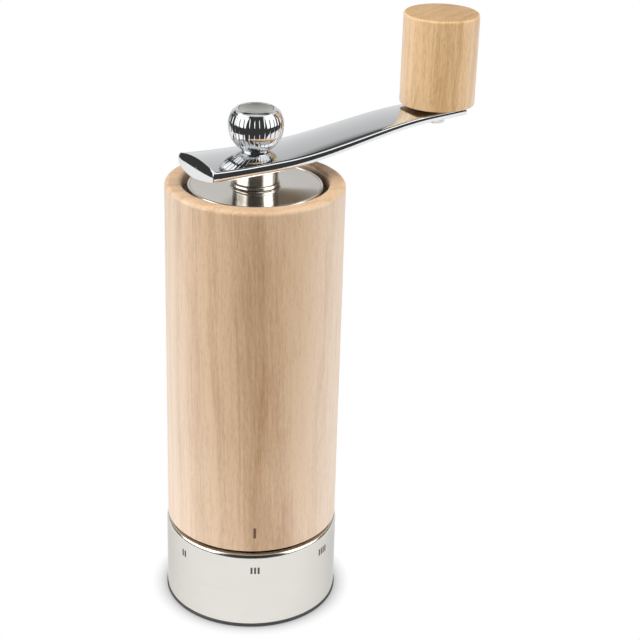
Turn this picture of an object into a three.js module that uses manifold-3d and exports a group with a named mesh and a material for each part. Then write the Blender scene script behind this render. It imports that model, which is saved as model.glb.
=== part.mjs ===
// A hand cranked salt mill: a turned beech body on a steel grind-setting ring, with a
// crank arm, a beech grip and a fluted ball knob. Millimetres, +Z up. The origin is on
// the mill's own axis, level with the foot, and the crank points along crankAngle.
import * as THREE from 'three';
import { mergeVertices } from 'three/addons/utils/BufferGeometryUtils.js';
import Module from 'manifold-3d';

// Clearances that every fit uses
const seatGap = 0.1; // between two pieces that stay put on each other
const runGap = 0.3; // between two pieces that turn or slide past each other
const overrun = 2; // how far a cut runs past the face it opens

// Fineness of the round shapes, in steps round the circle
const wideSteps = 36;
const innerSteps = 24;
const smallSteps = 14;
const cornerSteps = 2;
const beadSteps = 3;
const burrSteps = 4;
const sealSides = 5;

// Beech body
const bodyRadius = 27.5;
const bodyHeight = 113.3;
const bodyGap = 0.6; // dark line between the wood and the ring below it
const rimOuterRound = 1.5;
const rimInnerRound = 1;
const bodyFootRound = 0.4;
const bodyWall = 8; // round the chamber
const lidBoreWall = 5.2;
const lidBoreDepth = 4.5;
const housingBoreWall = 6;
const housingBoreDepth = 17.3;

// Foot ring and steel adjusting ring
const footProud = 0.25; // outside the steel ring
const footHeight = 1.2;
const footWidth = 6.9;
const footEdgeRound = 0.4;
const footRibHeight = 5;
const ringProud = 0.15; // outside the wood
const ringHeight = 26.9;
const ringWall = 0.95;
const ringEdgeRadius = 2.3;

// Core of the adjusting ring. Shares of its wall are counted from its bore outwards.
const coreTopBevel = 0.8;
const coreMouthShare = 0.37;
const ribSlotShares = [0.6, 0.855]; // ring-shaped pocket that takes the foot ring's rib
const clickTrackShares = [0.145, 0.74];
const coreDeck = 4.3; // between the pocket and the click track
const clickTrackDepth = 2;
const clickDimpleDepth = 0.5;
const clickDimpleRadius = 1.1;

// Grind settings
const settingCount = 6;
const restSetting = 3;
const settingStep = 53.5; // degrees of the ring from one setting to the next
const settingRise = 0.25; // the outer burr's travel for one setting
const camPinAngle = 90; // degrees, at the back
const camPinRadius = 1.2;
const camPinBed = 1.2; // wall between the pin's inner end and the burr's seat
const camPinReachShare = 0.26; // of the core's wall
const camPinRise = 8; // over the carrier's foot

// Mechanism housing
const flangeReach = 3.5; // outside the wood's bore
const flangeThickness = 2.4;
const tubeInset = 1.5; // inside the wood's bore
const tubeWall = 2;
const tubeOverhang = 3; // below the carrier
const throatLedge = 2.5;
const funnelWall = 1.2;
const bridgeCount = 3;
const bridgeWidth = 3;
const bridgeDepth = 4;
const hubRadius = 7.5;
const hubHeight = 7.5;
const screwCount = 3;
const screwStart = 30; // degrees
const screwHeadRadius = 1.6;
const screwHeadHeight = 1;
const screwRadius = 0.9;
const screwLength = 8;
const screwSlotWidth = 0.5;
const screwSlotDepth = 0.4;

// Retaining clip of the ring, and the click spring
const clipThickness = 1;
const clipBite = 0.7; // how deep the clip sits in the tube's groove
const clipReachShare = 0.21; // of the core's wall, over the tube's running gap
const clipOpening = 34; // degrees
const clipRise = 1; // over the tube's lower end
const clickSpringAngle = 90; // degrees
const clickSpringSweep = 60; // degrees
const clickSpringThickness = 0.4;
const clickPinRadius = 0.7;
const clickPinInset = 6; // degrees from the spring's ends
const clickMarginShare = 0.1; // of the track's width, free at each side of the spring

// Burrs and their carrier
const carrierHeadroom = 1.7; // below the flange, for the way up to the coarsest setting
const carrierHeight = 16;
const carrierWall = 3.5;
const carrierLip = 1;
const carrierLipReach = 0.9;
const carrierMouthShare = 0.3; // of the wall, taken off by the funnel over the burr
const statorHeight = 12;
const statorFootShare = 0.85; // of the outer burr's radius, as the next two
const statorWaistShare = 0.72;
const statorMouthShare = 0.88;
const statorWaistHeight = 3.5;
const statorTeeth = 12;
const statorCoarseDepth = 0.8;
const fineDepth = 0.2; // of the teeth near the burrs' lower edges
const burrGap = 0.8;
const rotorRise = 0.9; // over the outer burr's foot
const rotorHeight = 13;
const rotorTopShare = 0.4; // of the outer burr's radius
const rotorTeeth = 8;
const rotorDepthShare = 0.55; // of the wall over the shaft's corners
const rotorTwist = 70; // degrees from the lower edge to the top
const statorPoints = 3; // round the circle for each tooth
const rotorPoints = 4;

// Drive shaft and what it carries
const shaftAcross = 4.5; // across the flats
const studRadius = 2;
const footStudLength = 4.3;
const topStudLength = 8.2;
const nutAcross = 7;
const nutHeight = 3.2;
const bearingWall = 1.5;
const bearingRimRadius = 7;
const bearingRimHeight = 1.2;
const washerRadius = 6.4;
const washerThickness = 0.8;
const shaftClipRadius = 5.4;
const shaftClipThickness = 0.8;
const shaftClipOpening = 68; // degrees
const springWire = 0.9;
const springRadius = 4.6; // of the wire's middle
const springEndGap = 0.5; // between the flat turns at each end
const springTurns = 5;
const springStepsPerTurn = 8;
const springSides = 5;

// Lid
const lidGap = 1.75; // open ring between the disc and the wood
const lidThickness = 2.1;
const lidTopDrop = 1; // below the wood's rim
const lidBead = 0.45;
const lidSkirtDepth = 7.5;
const lidSkirtWall = 2;
const lidBossRadius = 8;
const lidWebThickness = 1.4;
const sealRadius = 0.6;
const sealHeight = 4;
const lidBushRadius = 4.6;
const lidBushRimRadius = 7.45;
const lidBushRimHeight = 1;
const lidClipRadius = 6.6;
const lidClipThickness = 1;
const lidClipBite = 0.5; // how deep the clip sits in the bush's groove
const lidBushTail = 1.6;

// Crank arm
const crankAngle = 30.8; // degrees from +X, seen from above
const armTail = 21;
const armTip = 74;
const gripInset = 7.5; // from the arm's tip to the grip's axis
const armHubWidth = 19.4;
const armTipWidth = 13.7;
const armSideHub = 3.1;
const armSideTip = 2;
const armRise = 5.3;
const armRiseStart = 5;
const armRiseEnd = 60;
const armTailLift = 0.75;
const armStand = 7.85; // from the foot of the boss to the arm's upper edges at the hub
const armCrownHub = 1.25; // the top's middle over its edges
const armCrownTip = 0.4;
const armBellyHub = 2;
const armBellyTip = 1.2;
const armSideAngles = [45, 14, -20]; // degrees round the bulging side, from its upper edge
const armEndShare = 0.45; // of the side height: how deep the rounded ends are
const armEndAngles = [15, 35, 60, 90]; // degrees round the end's edge
const armStations = 16;
const armCrownSteps = 6;
const bossRadius = 7.05;

// Ball knob
const ballRadius = 8.4;
const ballCentreRise = 7.75; // over the top of the arm
const neckRadius = 4.3;
const ballSteps = 6;
const fluteCount = 32;
const flutePoints = 3; // round the circle for each flute
const fluteDepth = 0.4;
const fluteTop = 3.9; // over the ball's middle
const knobRimRadius = 5.75;
const knobRimRise = 5.4; // over the ball's middle
const knobRimRound = 0.9;
const capRadius = 5.15;
const capRecess = 0.05; // from the rim down to the cap's edge
const capThickness = 0.9; // at its edge
const capDish = 0.65; // depth of its hollow top
const capDishShares = [1, 0.75, 0.5, 0.25]; // of the hollow's radius
const capLand = 0.3;
const knobNutRadius = 3.2;
const knobNutHeight = 7.2;
const knobBoreSpare = 1.2;

// Grip and its spindle
const gripRadius = 12.1;
const gripHeight = 28.7;
const gripEdgeRound = 0.9;
const gripBoreRadius = 4.3;
const gripBoreDepth = 24;
const gripWasherRadius = 5.6;
const gripWasherThickness = 0.4;
const spindleRadius = 2.5;
const spindleHeadRadius = 2.9;
const spindleHeadHeight = 1.2;
const spindleSnapRadius = 3;
const spindleSnapHeight = 2;
const spindleSnapDrop = 3; // from the top of the bush's bore

// Heights over the foot that follow from the sizes above
const radians = (degrees) => (degrees * Math.PI) / 180;
const chamberRadius = bodyRadius - bodyWall;
const lidBoreRadius = bodyRadius - lidBoreWall;
const housingBoreRadius = bodyRadius - housingBoreWall;
const sleeveRadius = housingBoreRadius - seatGap;
const flangeRadius = housingBoreRadius + flangeReach;
const screwCircle = (housingBoreRadius + flangeRadius) / 2;
const tubeRadius = housingBoreRadius - tubeInset;
const tubeBore = tubeRadius - tubeWall;
const ringRadius = bodyRadius + ringProud;
const footRadius = ringRadius + footProud;
const ringBottom = footHeight + seatGap;
const ringTop = footHeight + ringHeight;
const bodyBottom = ringTop + bodyGap;
const bodyTop = bodyBottom + bodyHeight;
const lidLedge = bodyTop - lidBoreDepth;
const housingTop = bodyBottom + housingBoreDepth - seatGap;
const flangeTop = bodyBottom - seatGap;
const flangeFoot = flangeTop - flangeThickness;
const coreTop = flangeFoot - runGap;
const coreBoreRadius = tubeRadius + runGap;
const coreRadius = ringRadius - ringWall - 2 * seatGap;
const coreWall = coreRadius - coreBoreRadius;
const [clickTrackInner, clickTrackOuter] = clickTrackShares.map(inCoreWall);
const [ribSlotInner, ribSlotOuter] = ribSlotShares.map(inCoreWall);
const clickFloor = coreTop - clickTrackDepth;
const carrierTop = flangeFoot - carrierHeadroom;
const carrierFoot = carrierTop - carrierHeight;
const carrierRadius = tubeBore - runGap;
const carrierSeatRadius = carrierRadius - carrierWall;
const statorRadius = carrierSeatRadius - 2 * seatGap;
const statorFoot = carrierFoot + carrierLip + seatGap;
const tubeFoot = carrierFoot - tubeOverhang;
const clipFoot = tubeFoot + clipRise;
const clipTop = clipFoot + clipThickness;
const coreFloor = clipTop + runGap;
const camPinHeight = carrierFoot + camPinRise;
const camPinInnerEnd = carrierSeatRadius + camPinBed;
const camPinOuterEnd = inCoreWall(camPinReachShare);
const rotorFoot = statorFoot + rotorRise;
const rotorTop = rotorFoot + rotorHeight;
const hubFoot = housingTop - hubHeight;
const shaftCorner = (shaftAcross / 2) * Math.SQRT2;
const bearingBore = shaftCorner + runGap;
const bearingTop = housingTop + seatGap + bearingRimHeight;
const lidRadius = lidBoreRadius - lidGap;
const lidTop = bodyTop - lidTopDrop;
const insertTop = lidTop - lidThickness - seatGap;
const insertFoot = insertTop - lidWebThickness - lidSkirtDepth;
const bushRimFoot = lidTop + seatGap;
const bushRimTop = bushRimFoot + lidBushRimHeight;
const bossFoot = bushRimTop + runGap;
const crankRadius = armTip - gripInset;
const armEdgeHeight = bossFoot + armStand;
const armCrownHeight = armEdgeHeight + armCrownHub;
const shaftTop = armCrownHeight - seatGap;
const knobFoot = armCrownHeight + seatGap;
const ballCentre = armCrownHeight + ballCentreRise;
const knobNutTop = knobFoot + seatGap + knobNutHeight;
const gripFoot = armTopAt(crankRadius) + 2 * runGap + gripWasherThickness;
const gripTop = gripFoot + gripHeight;
const highestRise = (settingCount - restSetting) * settingRise;

const wasm = await Module();
wasm.setup();

// Triangles with merged corners, without those that have no area.
function welded(geometry) {
  const bare = geometry.clone();
  for (const name of Object.keys(bare.attributes)) {
    if (name !== 'position') bare.deleteAttribute(name);
  }
  const merged = mergeVertices(bare);
  const kept = [];
  const corners = merged.index.array;
  for (let i = 0; i < corners.length; i += 3) {
    const [a, b, c] = [corners[i], corners[i + 1], corners[i + 2]];
    if (a !== b && b !== c && c !== a) kept.push(a, b, c);
  }
  merged.setIndex(kept);
  return merged;
}

function toSolid(geometry) {
  const mesh = welded(geometry);
  return new wasm.Manifold(new wasm.Mesh({
    numProp: 3,
    vertProperties: new Float32Array(mesh.attributes.position.array),
    triVerts: new Uint32Array(mesh.index.array),
  }));
}

function toGeometry(solid) {
  const mesh = solid.getMesh();
  const geometry = new THREE.BufferGeometry();
  geometry.setAttribute('position', new THREE.BufferAttribute(mesh.vertProperties, 3));
  geometry.setIndex(new THREE.BufferAttribute(mesh.triVerts, 1));
  return geometry;
}

function cut(geometry, ...tools) {
  return toGeometry(tools.reduce((solid, tool) => solid.subtract(toSolid(tool)), toSolid(geometry)));
}

function join(geometry, ...others) {
  return toGeometry(others.reduce((solid, other) => solid.add(toSolid(other)), toSolid(geometry)));
}

// Points [radius, height] along an arc, angles in degrees from the outward direction.
function arc(centreRadius, centreHeight, radius, from, to, steps = cornerSteps) {
  const points = [];
  for (let i = 0; i <= steps; i += 1) {
    const angle = radians(from + ((to - from) * i) / steps);
    points.push([centreRadius + radius * Math.cos(angle), centreHeight + radius * Math.sin(angle)]);
  }
  return points;
}

// A solid turned about +Z from points [radius, height], listed outside upwards, inside down.
function turned(profile, steps) {
  const points = profile.map(([radius, height]) => new THREE.Vector2(radius, height));
  const endsOnAxis = profile[0][0] === 0 && profile[profile.length - 1][0] === 0;
  if (!endsOnAxis) points.push(points[0].clone());
  return welded(new THREE.LatheGeometry(points, steps).rotateX(Math.PI / 2));
}

function ringShape(outer, inner, low, high) {
  return [[outer, low], [outer, high], [inner, high], [inner, low]];
}

function disc(radius, low, high, steps) {
  return turned([[0, low], [radius, low], [radius, high], [0, high]], steps);
}

// A solid between rings of points that have the same count, capped or closed on itself.
function lofted(rings, closed) {
  const count = rings[0].length;
  const points = rings.flat();
  const corners = [];
  const spans = closed ? rings.length : rings.length - 1;
  for (let i = 0; i < spans; i += 1) {
    const here = i * count;
    const next = ((i + 1) % rings.length) * count;
    for (let k = 0; k < count; k += 1) {
      const beside = (k + 1) % count;
      corners.push(here + k, here + beside, next + beside, here + k, next + beside, next + k);
    }
  }
  if (!closed) {
    for (const [ring, flip] of [[0, true], [rings.length - 1, false]]) {
      const middle = points.length;
      const centre = rings[ring].reduce((sum, p) => sum.add(p), new THREE.Vector3());
      points.push(centre.divideScalar(count));
      for (let k = 0; k < count; k += 1) {
        const a = ring * count + k;
        const b = ring * count + ((k + 1) % count);
        if (flip) corners.push(middle, b, a);
        else corners.push(middle, a, b);
      }
    }
  }
  const geometry = new THREE.BufferGeometry().setFromPoints(points);
  geometry.setIndex(corners);
  return welded(geometry);
}

// A solid round +Z whose closed outline [radius, height] changes with the angle.
function sweptRound(steps, outlineAt) {
  const rings = [];
  for (let i = 0; i < steps; i += 1) {
    const angle = (2 * Math.PI * i) / steps;
    rings.push(outlineAt(angle).map(([radius, height]) => new THREE.Vector3(
      radius * Math.cos(angle), radius * Math.sin(angle), height,
    )));
  }
  return lofted(rings.map((ring) => ring.slice().reverse()), true);
}

function prism(shape, low, high, curveSteps = 1) {
  const options = { depth: high - low, bevelEnabled: false, curveSegments: curveSteps };
  return new THREE.ExtrudeGeometry(shape, options).translate(0, 0, low);
}

function polygon(points) {
  return new THREE.Shape(points.map(([x, y]) => new THREE.Vector2(x, y)));
}

function box(width, depth, low, high) {
  return new THREE.BoxGeometry(width, depth, high - low).translate(0, 0, (low + high) / 2);
}

function aroundAxis(geometry, radius, degrees) {
  return geometry.translate(radius, 0, 0).rotateZ(radians(degrees));
}

function alongArm(geometry) {
  return geometry.translate(crankRadius, 0, 0);
}

// A size of the arm that changes evenly from the hub to the tip, and stays behind the hub.
function armSize(atHub, atTip, distance) {
  return atHub + ((atTip - atHub) * Math.max(distance, 0)) / armTip;
}

function armCrownAt(distance) {
  return armSize(armCrownHub, armCrownTip, distance);
}

function armSideAt(distance) {
  return armSize(armSideHub, armSideTip, distance);
}

function armWidthAt(distance) {
  return armHubWidth + ((armTipWidth - armHubWidth) * distance) / armTip;
}

// Height over the foot of the arm's upper edges: level at the hub, then up to the grip.
function armEdgeAt(distance) {
  const run = THREE.MathUtils.smoothstep(distance, armRiseStart, armRiseEnd);
  const tail = Math.min(distance, 0) / armTail;
  return armEdgeHeight + armRise * run + armTailLift * tail * tail;
}

function armTopAt(distance) {
  return armEdgeAt(distance) + armCrownAt(distance);
}

function armUndersideAt(distance) {
  return armEdgeAt(distance) - armSideAt(distance) - armSize(armBellyHub, armBellyTip, distance);
}

function beechBody() {
  const rim = arc(bodyRadius - rimOuterRound, bodyTop - rimOuterRound, rimOuterRound, 0, 90);
  const mouth = arc(lidBoreRadius + rimInnerRound, bodyTop - rimInnerRound, rimInnerRound, 90, 180);
  const foot = arc(bodyRadius - bodyFootRound, bodyBottom + bodyFootRound, bodyFootRound, -90, 0);
  const shelf = bodyBottom + housingBoreDepth;
  const wood = turned([
    ...foot, ...rim, ...mouth,
    [lidBoreRadius, lidLedge], [chamberRadius, lidLedge],
    [chamberRadius, shelf], [housingBoreRadius, shelf], [housingBoreRadius, bodyBottom],
  ], wideSteps);
  const pilot = disc(screwRadius + seatGap, bodyBottom - overrun, screwTop() + seatGap, smallSteps);
  return cut(wood, ...screwPlaces().map((degrees) => aroundAxis(pilot.clone(), screwCircle, degrees)));
}

// The radius at a share of the core's wall, counted from its bore.
function inCoreWall(share) {
  return coreBoreRadius + coreWall * share;
}

function screwPlaces() {
  const places = [];
  for (let i = 0; i < screwCount; i += 1) places.push(screwStart + (360 * i) / screwCount);
  return places;
}

function screwHeadFoot() {
  return flangeFoot + seatGap;
}

function screwTop() {
  return screwHeadFoot() + screwHeadHeight + screwLength;
}

function housingScrew() {
  const foot = screwHeadFoot();
  const head = foot + screwHeadHeight;
  const screw = turned([
    [0, foot], [screwHeadRadius, foot], [screwHeadRadius, head],
    [screwRadius, head], [screwRadius, screwTop()], [0, screwTop()],
  ], smallSteps);
  const slotLength = 2 * (screwHeadRadius + overrun);
  return cut(screw, box(slotLength, screwSlotWidth, foot - overrun, foot + screwSlotDepth));
}

// The housing: funnel and bearing bridge in the wood, and the tube that the ring turns on.
function mechanismHousing() {
  const funnelMouth = sleeveRadius - funnelWall;
  const throat = tubeBore - throatLedge;
  const grooveRadius = tubeRadius - clipBite - runGap;
  const shell = turned([
    [tubeRadius, tubeFoot],
    [tubeRadius, clipFoot - seatGap], [grooveRadius, clipFoot - seatGap],
    [grooveRadius, clipTop + seatGap], [tubeRadius, clipTop + seatGap],
    [tubeRadius, flangeFoot], [flangeRadius, flangeFoot], [flangeRadius, flangeTop],
    [sleeveRadius, flangeTop], [sleeveRadius, housingTop],
    [funnelMouth, housingTop], [throat, flangeTop],
    [throat, flangeFoot], [tubeBore, flangeFoot], [tubeBore, tubeFoot],
  ], innerSteps);
  const bridges = [];
  const reach = (funnelMouth + sleeveRadius) / 2;
  for (let i = 0; i < bridgeCount; i += 1) {
    const bar = box(reach, bridgeWidth, housingTop - bridgeDepth, housingTop);
    bridges.push(aroundAxis(bar, reach / 2, screwStart + (360 * (i + 1 / 2)) / bridgeCount));
  }
  const hub = disc(hubRadius, hubFoot, housingTop, innerSteps);
  const pinFoot = flangeFoot - 2 * clickSpringThickness;
  const pin = disc(clickPinRadius, pinFoot, flangeTop - flangeThickness / 2, smallSteps);
  const pinCircle = (clickTrackInner + clickTrackOuter) / 2;
  const pins = clickPinPlaces().map((degrees) => aroundAxis(pin.clone(), pinCircle, degrees));
  const bearingBed = bearingRadius() + seatGap;
  const bearingHole = disc(bearingBed, hubFoot - overrun, housingTop + overrun, innerSteps);
  const headHole = disc(screwHeadRadius + seatGap, flangeFoot - overrun,
    screwHeadFoot() + screwHeadHeight + seatGap, smallSteps);
  const shankHole = disc(screwRadius + seatGap, flangeFoot, flangeTop + overrun, smallSteps);
  const cuts = [bearingHole, pinSlot()];
  for (const degrees of screwPlaces()) {
    cuts.push(aroundAxis(headHole.clone(), screwCircle, degrees));
    cuts.push(aroundAxis(shankHole.clone(), screwCircle, degrees));
  }
  return cut(join(shell, hub, ...bridges, ...pins), ...cuts);
}

// Slot in the tube, open below, in which the cam pin rises and falls.
function pinSlot() {
  const top = camPinHeight + highestRise + camPinRadius + runGap;
  const slot = box(tubeWall + 2 * overrun, 2 * (camPinRadius + runGap), tubeFoot - overrun, top);
  return aroundAxis(slot, tubeRadius - tubeWall / 2, camPinAngle);
}

function clickPinPlaces() {
  const reach = clickSpringSweep / 2 - clickPinInset;
  return [clickSpringAngle - reach, clickSpringAngle + reach];
}

function bearingRadius() {
  return bearingBore + bearingWall;
}

function shaftBearing() {
  const foot = hubFoot;
  const rimFoot = housingTop + seatGap;
  return turned([
    [bearingRadius(), foot], [bearingRadius(), rimFoot], [bearingRimRadius, rimFoot],
    [bearingRimRadius, bearingTop], [bearingBore, bearingTop], [bearingBore, foot],
  ], smallSteps);
}

// A flat open ring, its opening centred on +X.
function openRing(outer, inner, opening, low, high, steps) {
  const half = radians(opening / 2);
  const shape = new THREE.Shape();
  shape.absarc(0, 0, outer, half, 2 * Math.PI - half, false);
  shape.absarc(0, 0, inner, 2 * Math.PI - half, half, true);
  return prism(shape, low, high, steps);
}

function retainingClip() {
  const outer = inCoreWall(clipReachShare);
  const inner = tubeRadius - clipBite;
  const ring = openRing(outer, inner, clipOpening, clipFoot, clipTop, innerSteps);
  return ring.rotateZ(radians(camPinAngle + 180));
}

// A strip of spring steel under the flange, with a nib that clicks into the core's dimples.
function clickSpring() {
  const margin = (clickTrackOuter - clickTrackInner) * clickMarginShare;
  const outer = clickTrackOuter - margin;
  const inner = clickTrackInner + margin;
  const middle = (outer + inner) / 2;
  const top = flangeFoot - seatGap;
  const low = top - clickSpringThickness;
  const strip = openRing(outer, inner, 360 - clickSpringSweep, low, top, smallSteps);
  strip.rotateZ(radians(clickSpringAngle + 180));
  const nibFoot = clickFloor + seatGap;
  const nibRadius = (low + clickSpringThickness / 2 - nibFoot) / 2;
  const nib = new THREE.CylinderGeometry(nibRadius, nibRadius, outer - inner, smallSteps);
  nib.rotateZ(Math.PI / 2).translate(0, 0, nibFoot + nibRadius);
  const hole = disc(clickPinRadius + seatGap, low - overrun, top + overrun, smallSteps);
  const holes = clickPinPlaces().map((degrees) => aroundAxis(hole.clone(), middle, degrees));
  return cut(join(strip, aroundAxis(nib, middle, clickSpringAngle)), ...holes);
}

// Pressed steel ring with a rolled upper edge.
function adjustingRing() {
  const bend = ringTop - ringEdgeRadius;
  const innerBend = ringEdgeRadius - ringWall;
  const centre = ringRadius - ringEdgeRadius;
  const outside = arc(centre, bend, ringEdgeRadius, 0, 90, 2 * cornerSteps);
  const inside = arc(centre, bend, innerBend, 90, 0);
  return turned([
    [ringRadius, ringBottom], ...outside, ...inside, [ringRadius - ringWall, ringBottom],
  ], wideSteps);
}

// The core carries the ring on the housing's tube. Its bore has the cam groove and its
// top the click dimples.
function ringCore() {
  const foot = ringBottom + runGap;
  const slotTop = clickFloor - coreDeck;
  const mouth = inCoreWall(coreMouthShare);
  const core = turned([
    [coreRadius, foot], [coreRadius, coreTop - coreTopBevel], [coreRadius - coreTopBevel, coreTop],
    [clickTrackOuter, coreTop], [clickTrackOuter, clickFloor], [clickTrackInner, clickFloor],
    [clickTrackInner, coreTop], [coreBoreRadius, coreTop],
    [coreBoreRadius, coreFloor], [mouth, coreFloor], [mouth, foot],
    [ribSlotInner, foot], [ribSlotInner, slotTop], [ribSlotOuter, slotTop], [ribSlotOuter, foot],
  ], innerSteps);
  const dimples = [];
  const length = clickTrackOuter - clickTrackInner;
  for (let setting = 1; setting <= settingCount; setting += 1) {
    const degrees = clickSpringAngle + (setting - restSetting) * settingStep;
    const dimple = new THREE.CylinderGeometry(clickDimpleRadius, clickDimpleRadius, length, smallSteps);
    dimple.rotateZ(Math.PI / 2).translate(0, 0, clickFloor + clickDimpleRadius - clickDimpleDepth);
    dimples.push(aroundAxis(dimple, (clickTrackOuter + clickTrackInner) / 2, degrees));
  }
  return cut(core, camGroove(), ...dimples);
}

// Helical groove in the core's bore: it lifts the cam pin as the ring turns to a coarser
// setting, and it is as long as the ring's whole turn.
function camGroove() {
  const clearAngle = (camPinRadius + 2 * runGap) / coreBoreRadius;
  const from = radians(camPinAngle - (restSetting - 1) * settingStep) - clearAngle;
  const to = radians(camPinAngle + (settingCount - restSetting) * settingStep) + clearAngle;
  const steps = Math.round((innerSteps * (to - from)) / (2 * Math.PI));
  const half = camPinRadius + runGap;
  const inner = coreBoreRadius - overrun;
  const outer = camPinOuterEnd + runGap;
  const rings = [];
  for (let i = 0; i <= steps; i += 1) {
    const angle = from + ((to - from) * i) / steps;
    const lift = ((angle - radians(camPinAngle)) / radians(settingStep)) * settingRise;
    const middle = camPinHeight + lift;
    const corners = [[inner, -half], [outer, -half], [outer, half], [inner, half]];
    rings.push(corners.map(([radius, offset]) => new THREE.Vector3(
      radius * Math.cos(angle), radius * Math.sin(angle), middle + offset,
    )).reverse());
  }
  return lofted(rings, false);
}

function footRing() {
  const ribOuter = ribSlotOuter - runGap;
  const ribInner = ribSlotInner + seatGap;
  const ribTop = footHeight + footRibHeight;
  const mouth = footRadius - footWidth;
  const lowEdge = arc(footRadius - footEdgeRound, footEdgeRound, footEdgeRound, -90, 0);
  const highEdge = arc(footRadius - footEdgeRound, footHeight - footEdgeRound, footEdgeRound, 0, 90);
  return turned([
    ...lowEdge, ...highEdge,
    [ribOuter, footHeight], [ribOuter, ribTop], [ribInner, ribTop], [ribInner, footHeight],
    [mouth, footHeight], [mouth, 0],
  ], wideSteps);
}

function statorCarrier() {
  const lipRadius = statorRadius - carrierLipReach;
  const burrTop = statorFoot + statorHeight;
  const mouth = carrierSeatRadius + (carrierRadius - carrierSeatRadius) * (1 - carrierMouthShare);
  const ring = turned([
    [carrierRadius, carrierFoot], [carrierRadius, carrierTop], [mouth, carrierTop],
    [carrierSeatRadius, burrTop], [carrierSeatRadius, statorFoot - seatGap],
    [lipRadius, statorFoot - seatGap], [lipRadius, carrierFoot],
  ], innerSteps);
  const bore = camPinRadius + seatGap;
  const inner = camPinInnerEnd - seatGap;
  const hole = new THREE.CylinderGeometry(bore, bore, tubeRadius - inner, smallSteps);
  hole.rotateZ(Math.PI / 2).translate(0, 0, camPinHeight);
  return cut(ring, aroundAxis(hole, (tubeRadius + inner) / 2, camPinAngle));
}

function camPin() {
  const length = camPinOuterEnd - camPinInnerEnd;
  const pin = new THREE.CylinderGeometry(camPinRadius, camPinRadius, length, smallSteps);
  pin.rotateZ(Math.PI / 2).translate(0, 0, camPinHeight);
  return welded(aroundAxis(pin, (camPinOuterEnd + camPinInnerEnd) / 2, camPinAngle));
}

// One tooth across the angle: 0 in the groove, 1 on the sharp crest.
function toothShare(angle, teeth) {
  const turn = (angle * teeth) / (2 * Math.PI);
  return turn - Math.floor(turn);
}

// Levels of a burr from its foot to its top, with the depth of its teeth at each.
function burrLevels(height, foot, waist, top, coarse) {
  const levels = [[0, foot, fineDepth], [statorWaistHeight, waist, fineDepth]];
  for (let i = 1; i <= burrSteps; i += 1) {
    const share = i / burrSteps;
    levels.push([
      statorWaistHeight + (height - statorWaistHeight) * share,
      waist + (top - waist) * share,
      fineDepth + (coarse - fineDepth) * share,
    ]);
  }
  return levels;
}

function statorBurr() {
  const shares = [statorFootShare, statorWaistShare, statorMouthShare];
  const radii = shares.map((share) => statorRadius * share);
  const levels = burrLevels(statorHeight, ...radii, statorCoarseDepth);
  return sweptRound(statorTeeth * statorPoints, (angle) => {
    const inside = levels.map(([rise, radius, depth]) => [
      radius + depth * toothShare(angle, statorTeeth), statorFoot + rise,
    ]);
    return [
      [statorRadius, statorFoot], [statorRadius, statorFoot + statorHeight], ...inside.reverse(),
    ];
  });
}

function rotorBurr() {
  const side = shaftAcross + 2 * seatGap;
  const radii = [
    statorRadius * statorFootShare - burrGap, statorRadius * statorWaistShare - burrGap,
    statorRadius * rotorTopShare,
  ];
  const coarse = (radii[2] - side / Math.SQRT2) * rotorDepthShare;
  const levels = burrLevels(rotorHeight, ...radii, coarse);
  const cone = sweptRound(rotorTeeth * rotorPoints, (angle) => {
    const outside = levels.map(([rise, radius, depth]) => {
      const twist = radians(rotorTwist) * (rise / rotorHeight);
      return [radius - depth * toothShare(angle + twist, rotorTeeth), rotorFoot + rise];
    });
    return [[0, rotorFoot], ...outside, [0, rotorTop]];
  });
  return cut(cone, box(side, side, rotorFoot - overrun, rotorTop + overrun));
}

// Square rod with a round threaded stud at each end.
function driveShaft() {
  const foot = rotorFoot - seatGap;
  const rod = box(shaftAcross, shaftAcross, foot, shaftTop);
  const studs = disc(studRadius, foot - footStudLength, shaftTop + topStudLength, smallSteps);
  return join(rod, studs);
}

function rotorNut() {
  const top = rotorFoot - 2 * seatGap;
  const corner = nutAcross / Math.sqrt(3);
  const hexagon = polygon([0, 1, 2, 3, 4, 5].map((i) => [
    corner * Math.cos(radians(60 * i)), corner * Math.sin(radians(60 * i)),
  ]));
  const nut = prism(hexagon, top - nutHeight, top);
  return cut(nut, disc(studRadius + seatGap, top - nutHeight - overrun, top + overrun, smallSteps));
}

function thrustWasher() {
  const top = hubFoot - runGap;
  return turned(ringShape(washerRadius, shaftCorner + seatGap, top - washerThickness, top), smallSteps);
}

function shaftClip() {
  const low = bearingTop + runGap;
  const high = low + shaftClipThickness;
  return openRing(shaftClipRadius, shaftCorner + seatGap, shaftClipOpening, low, high, smallSteps / 2);
}

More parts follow.
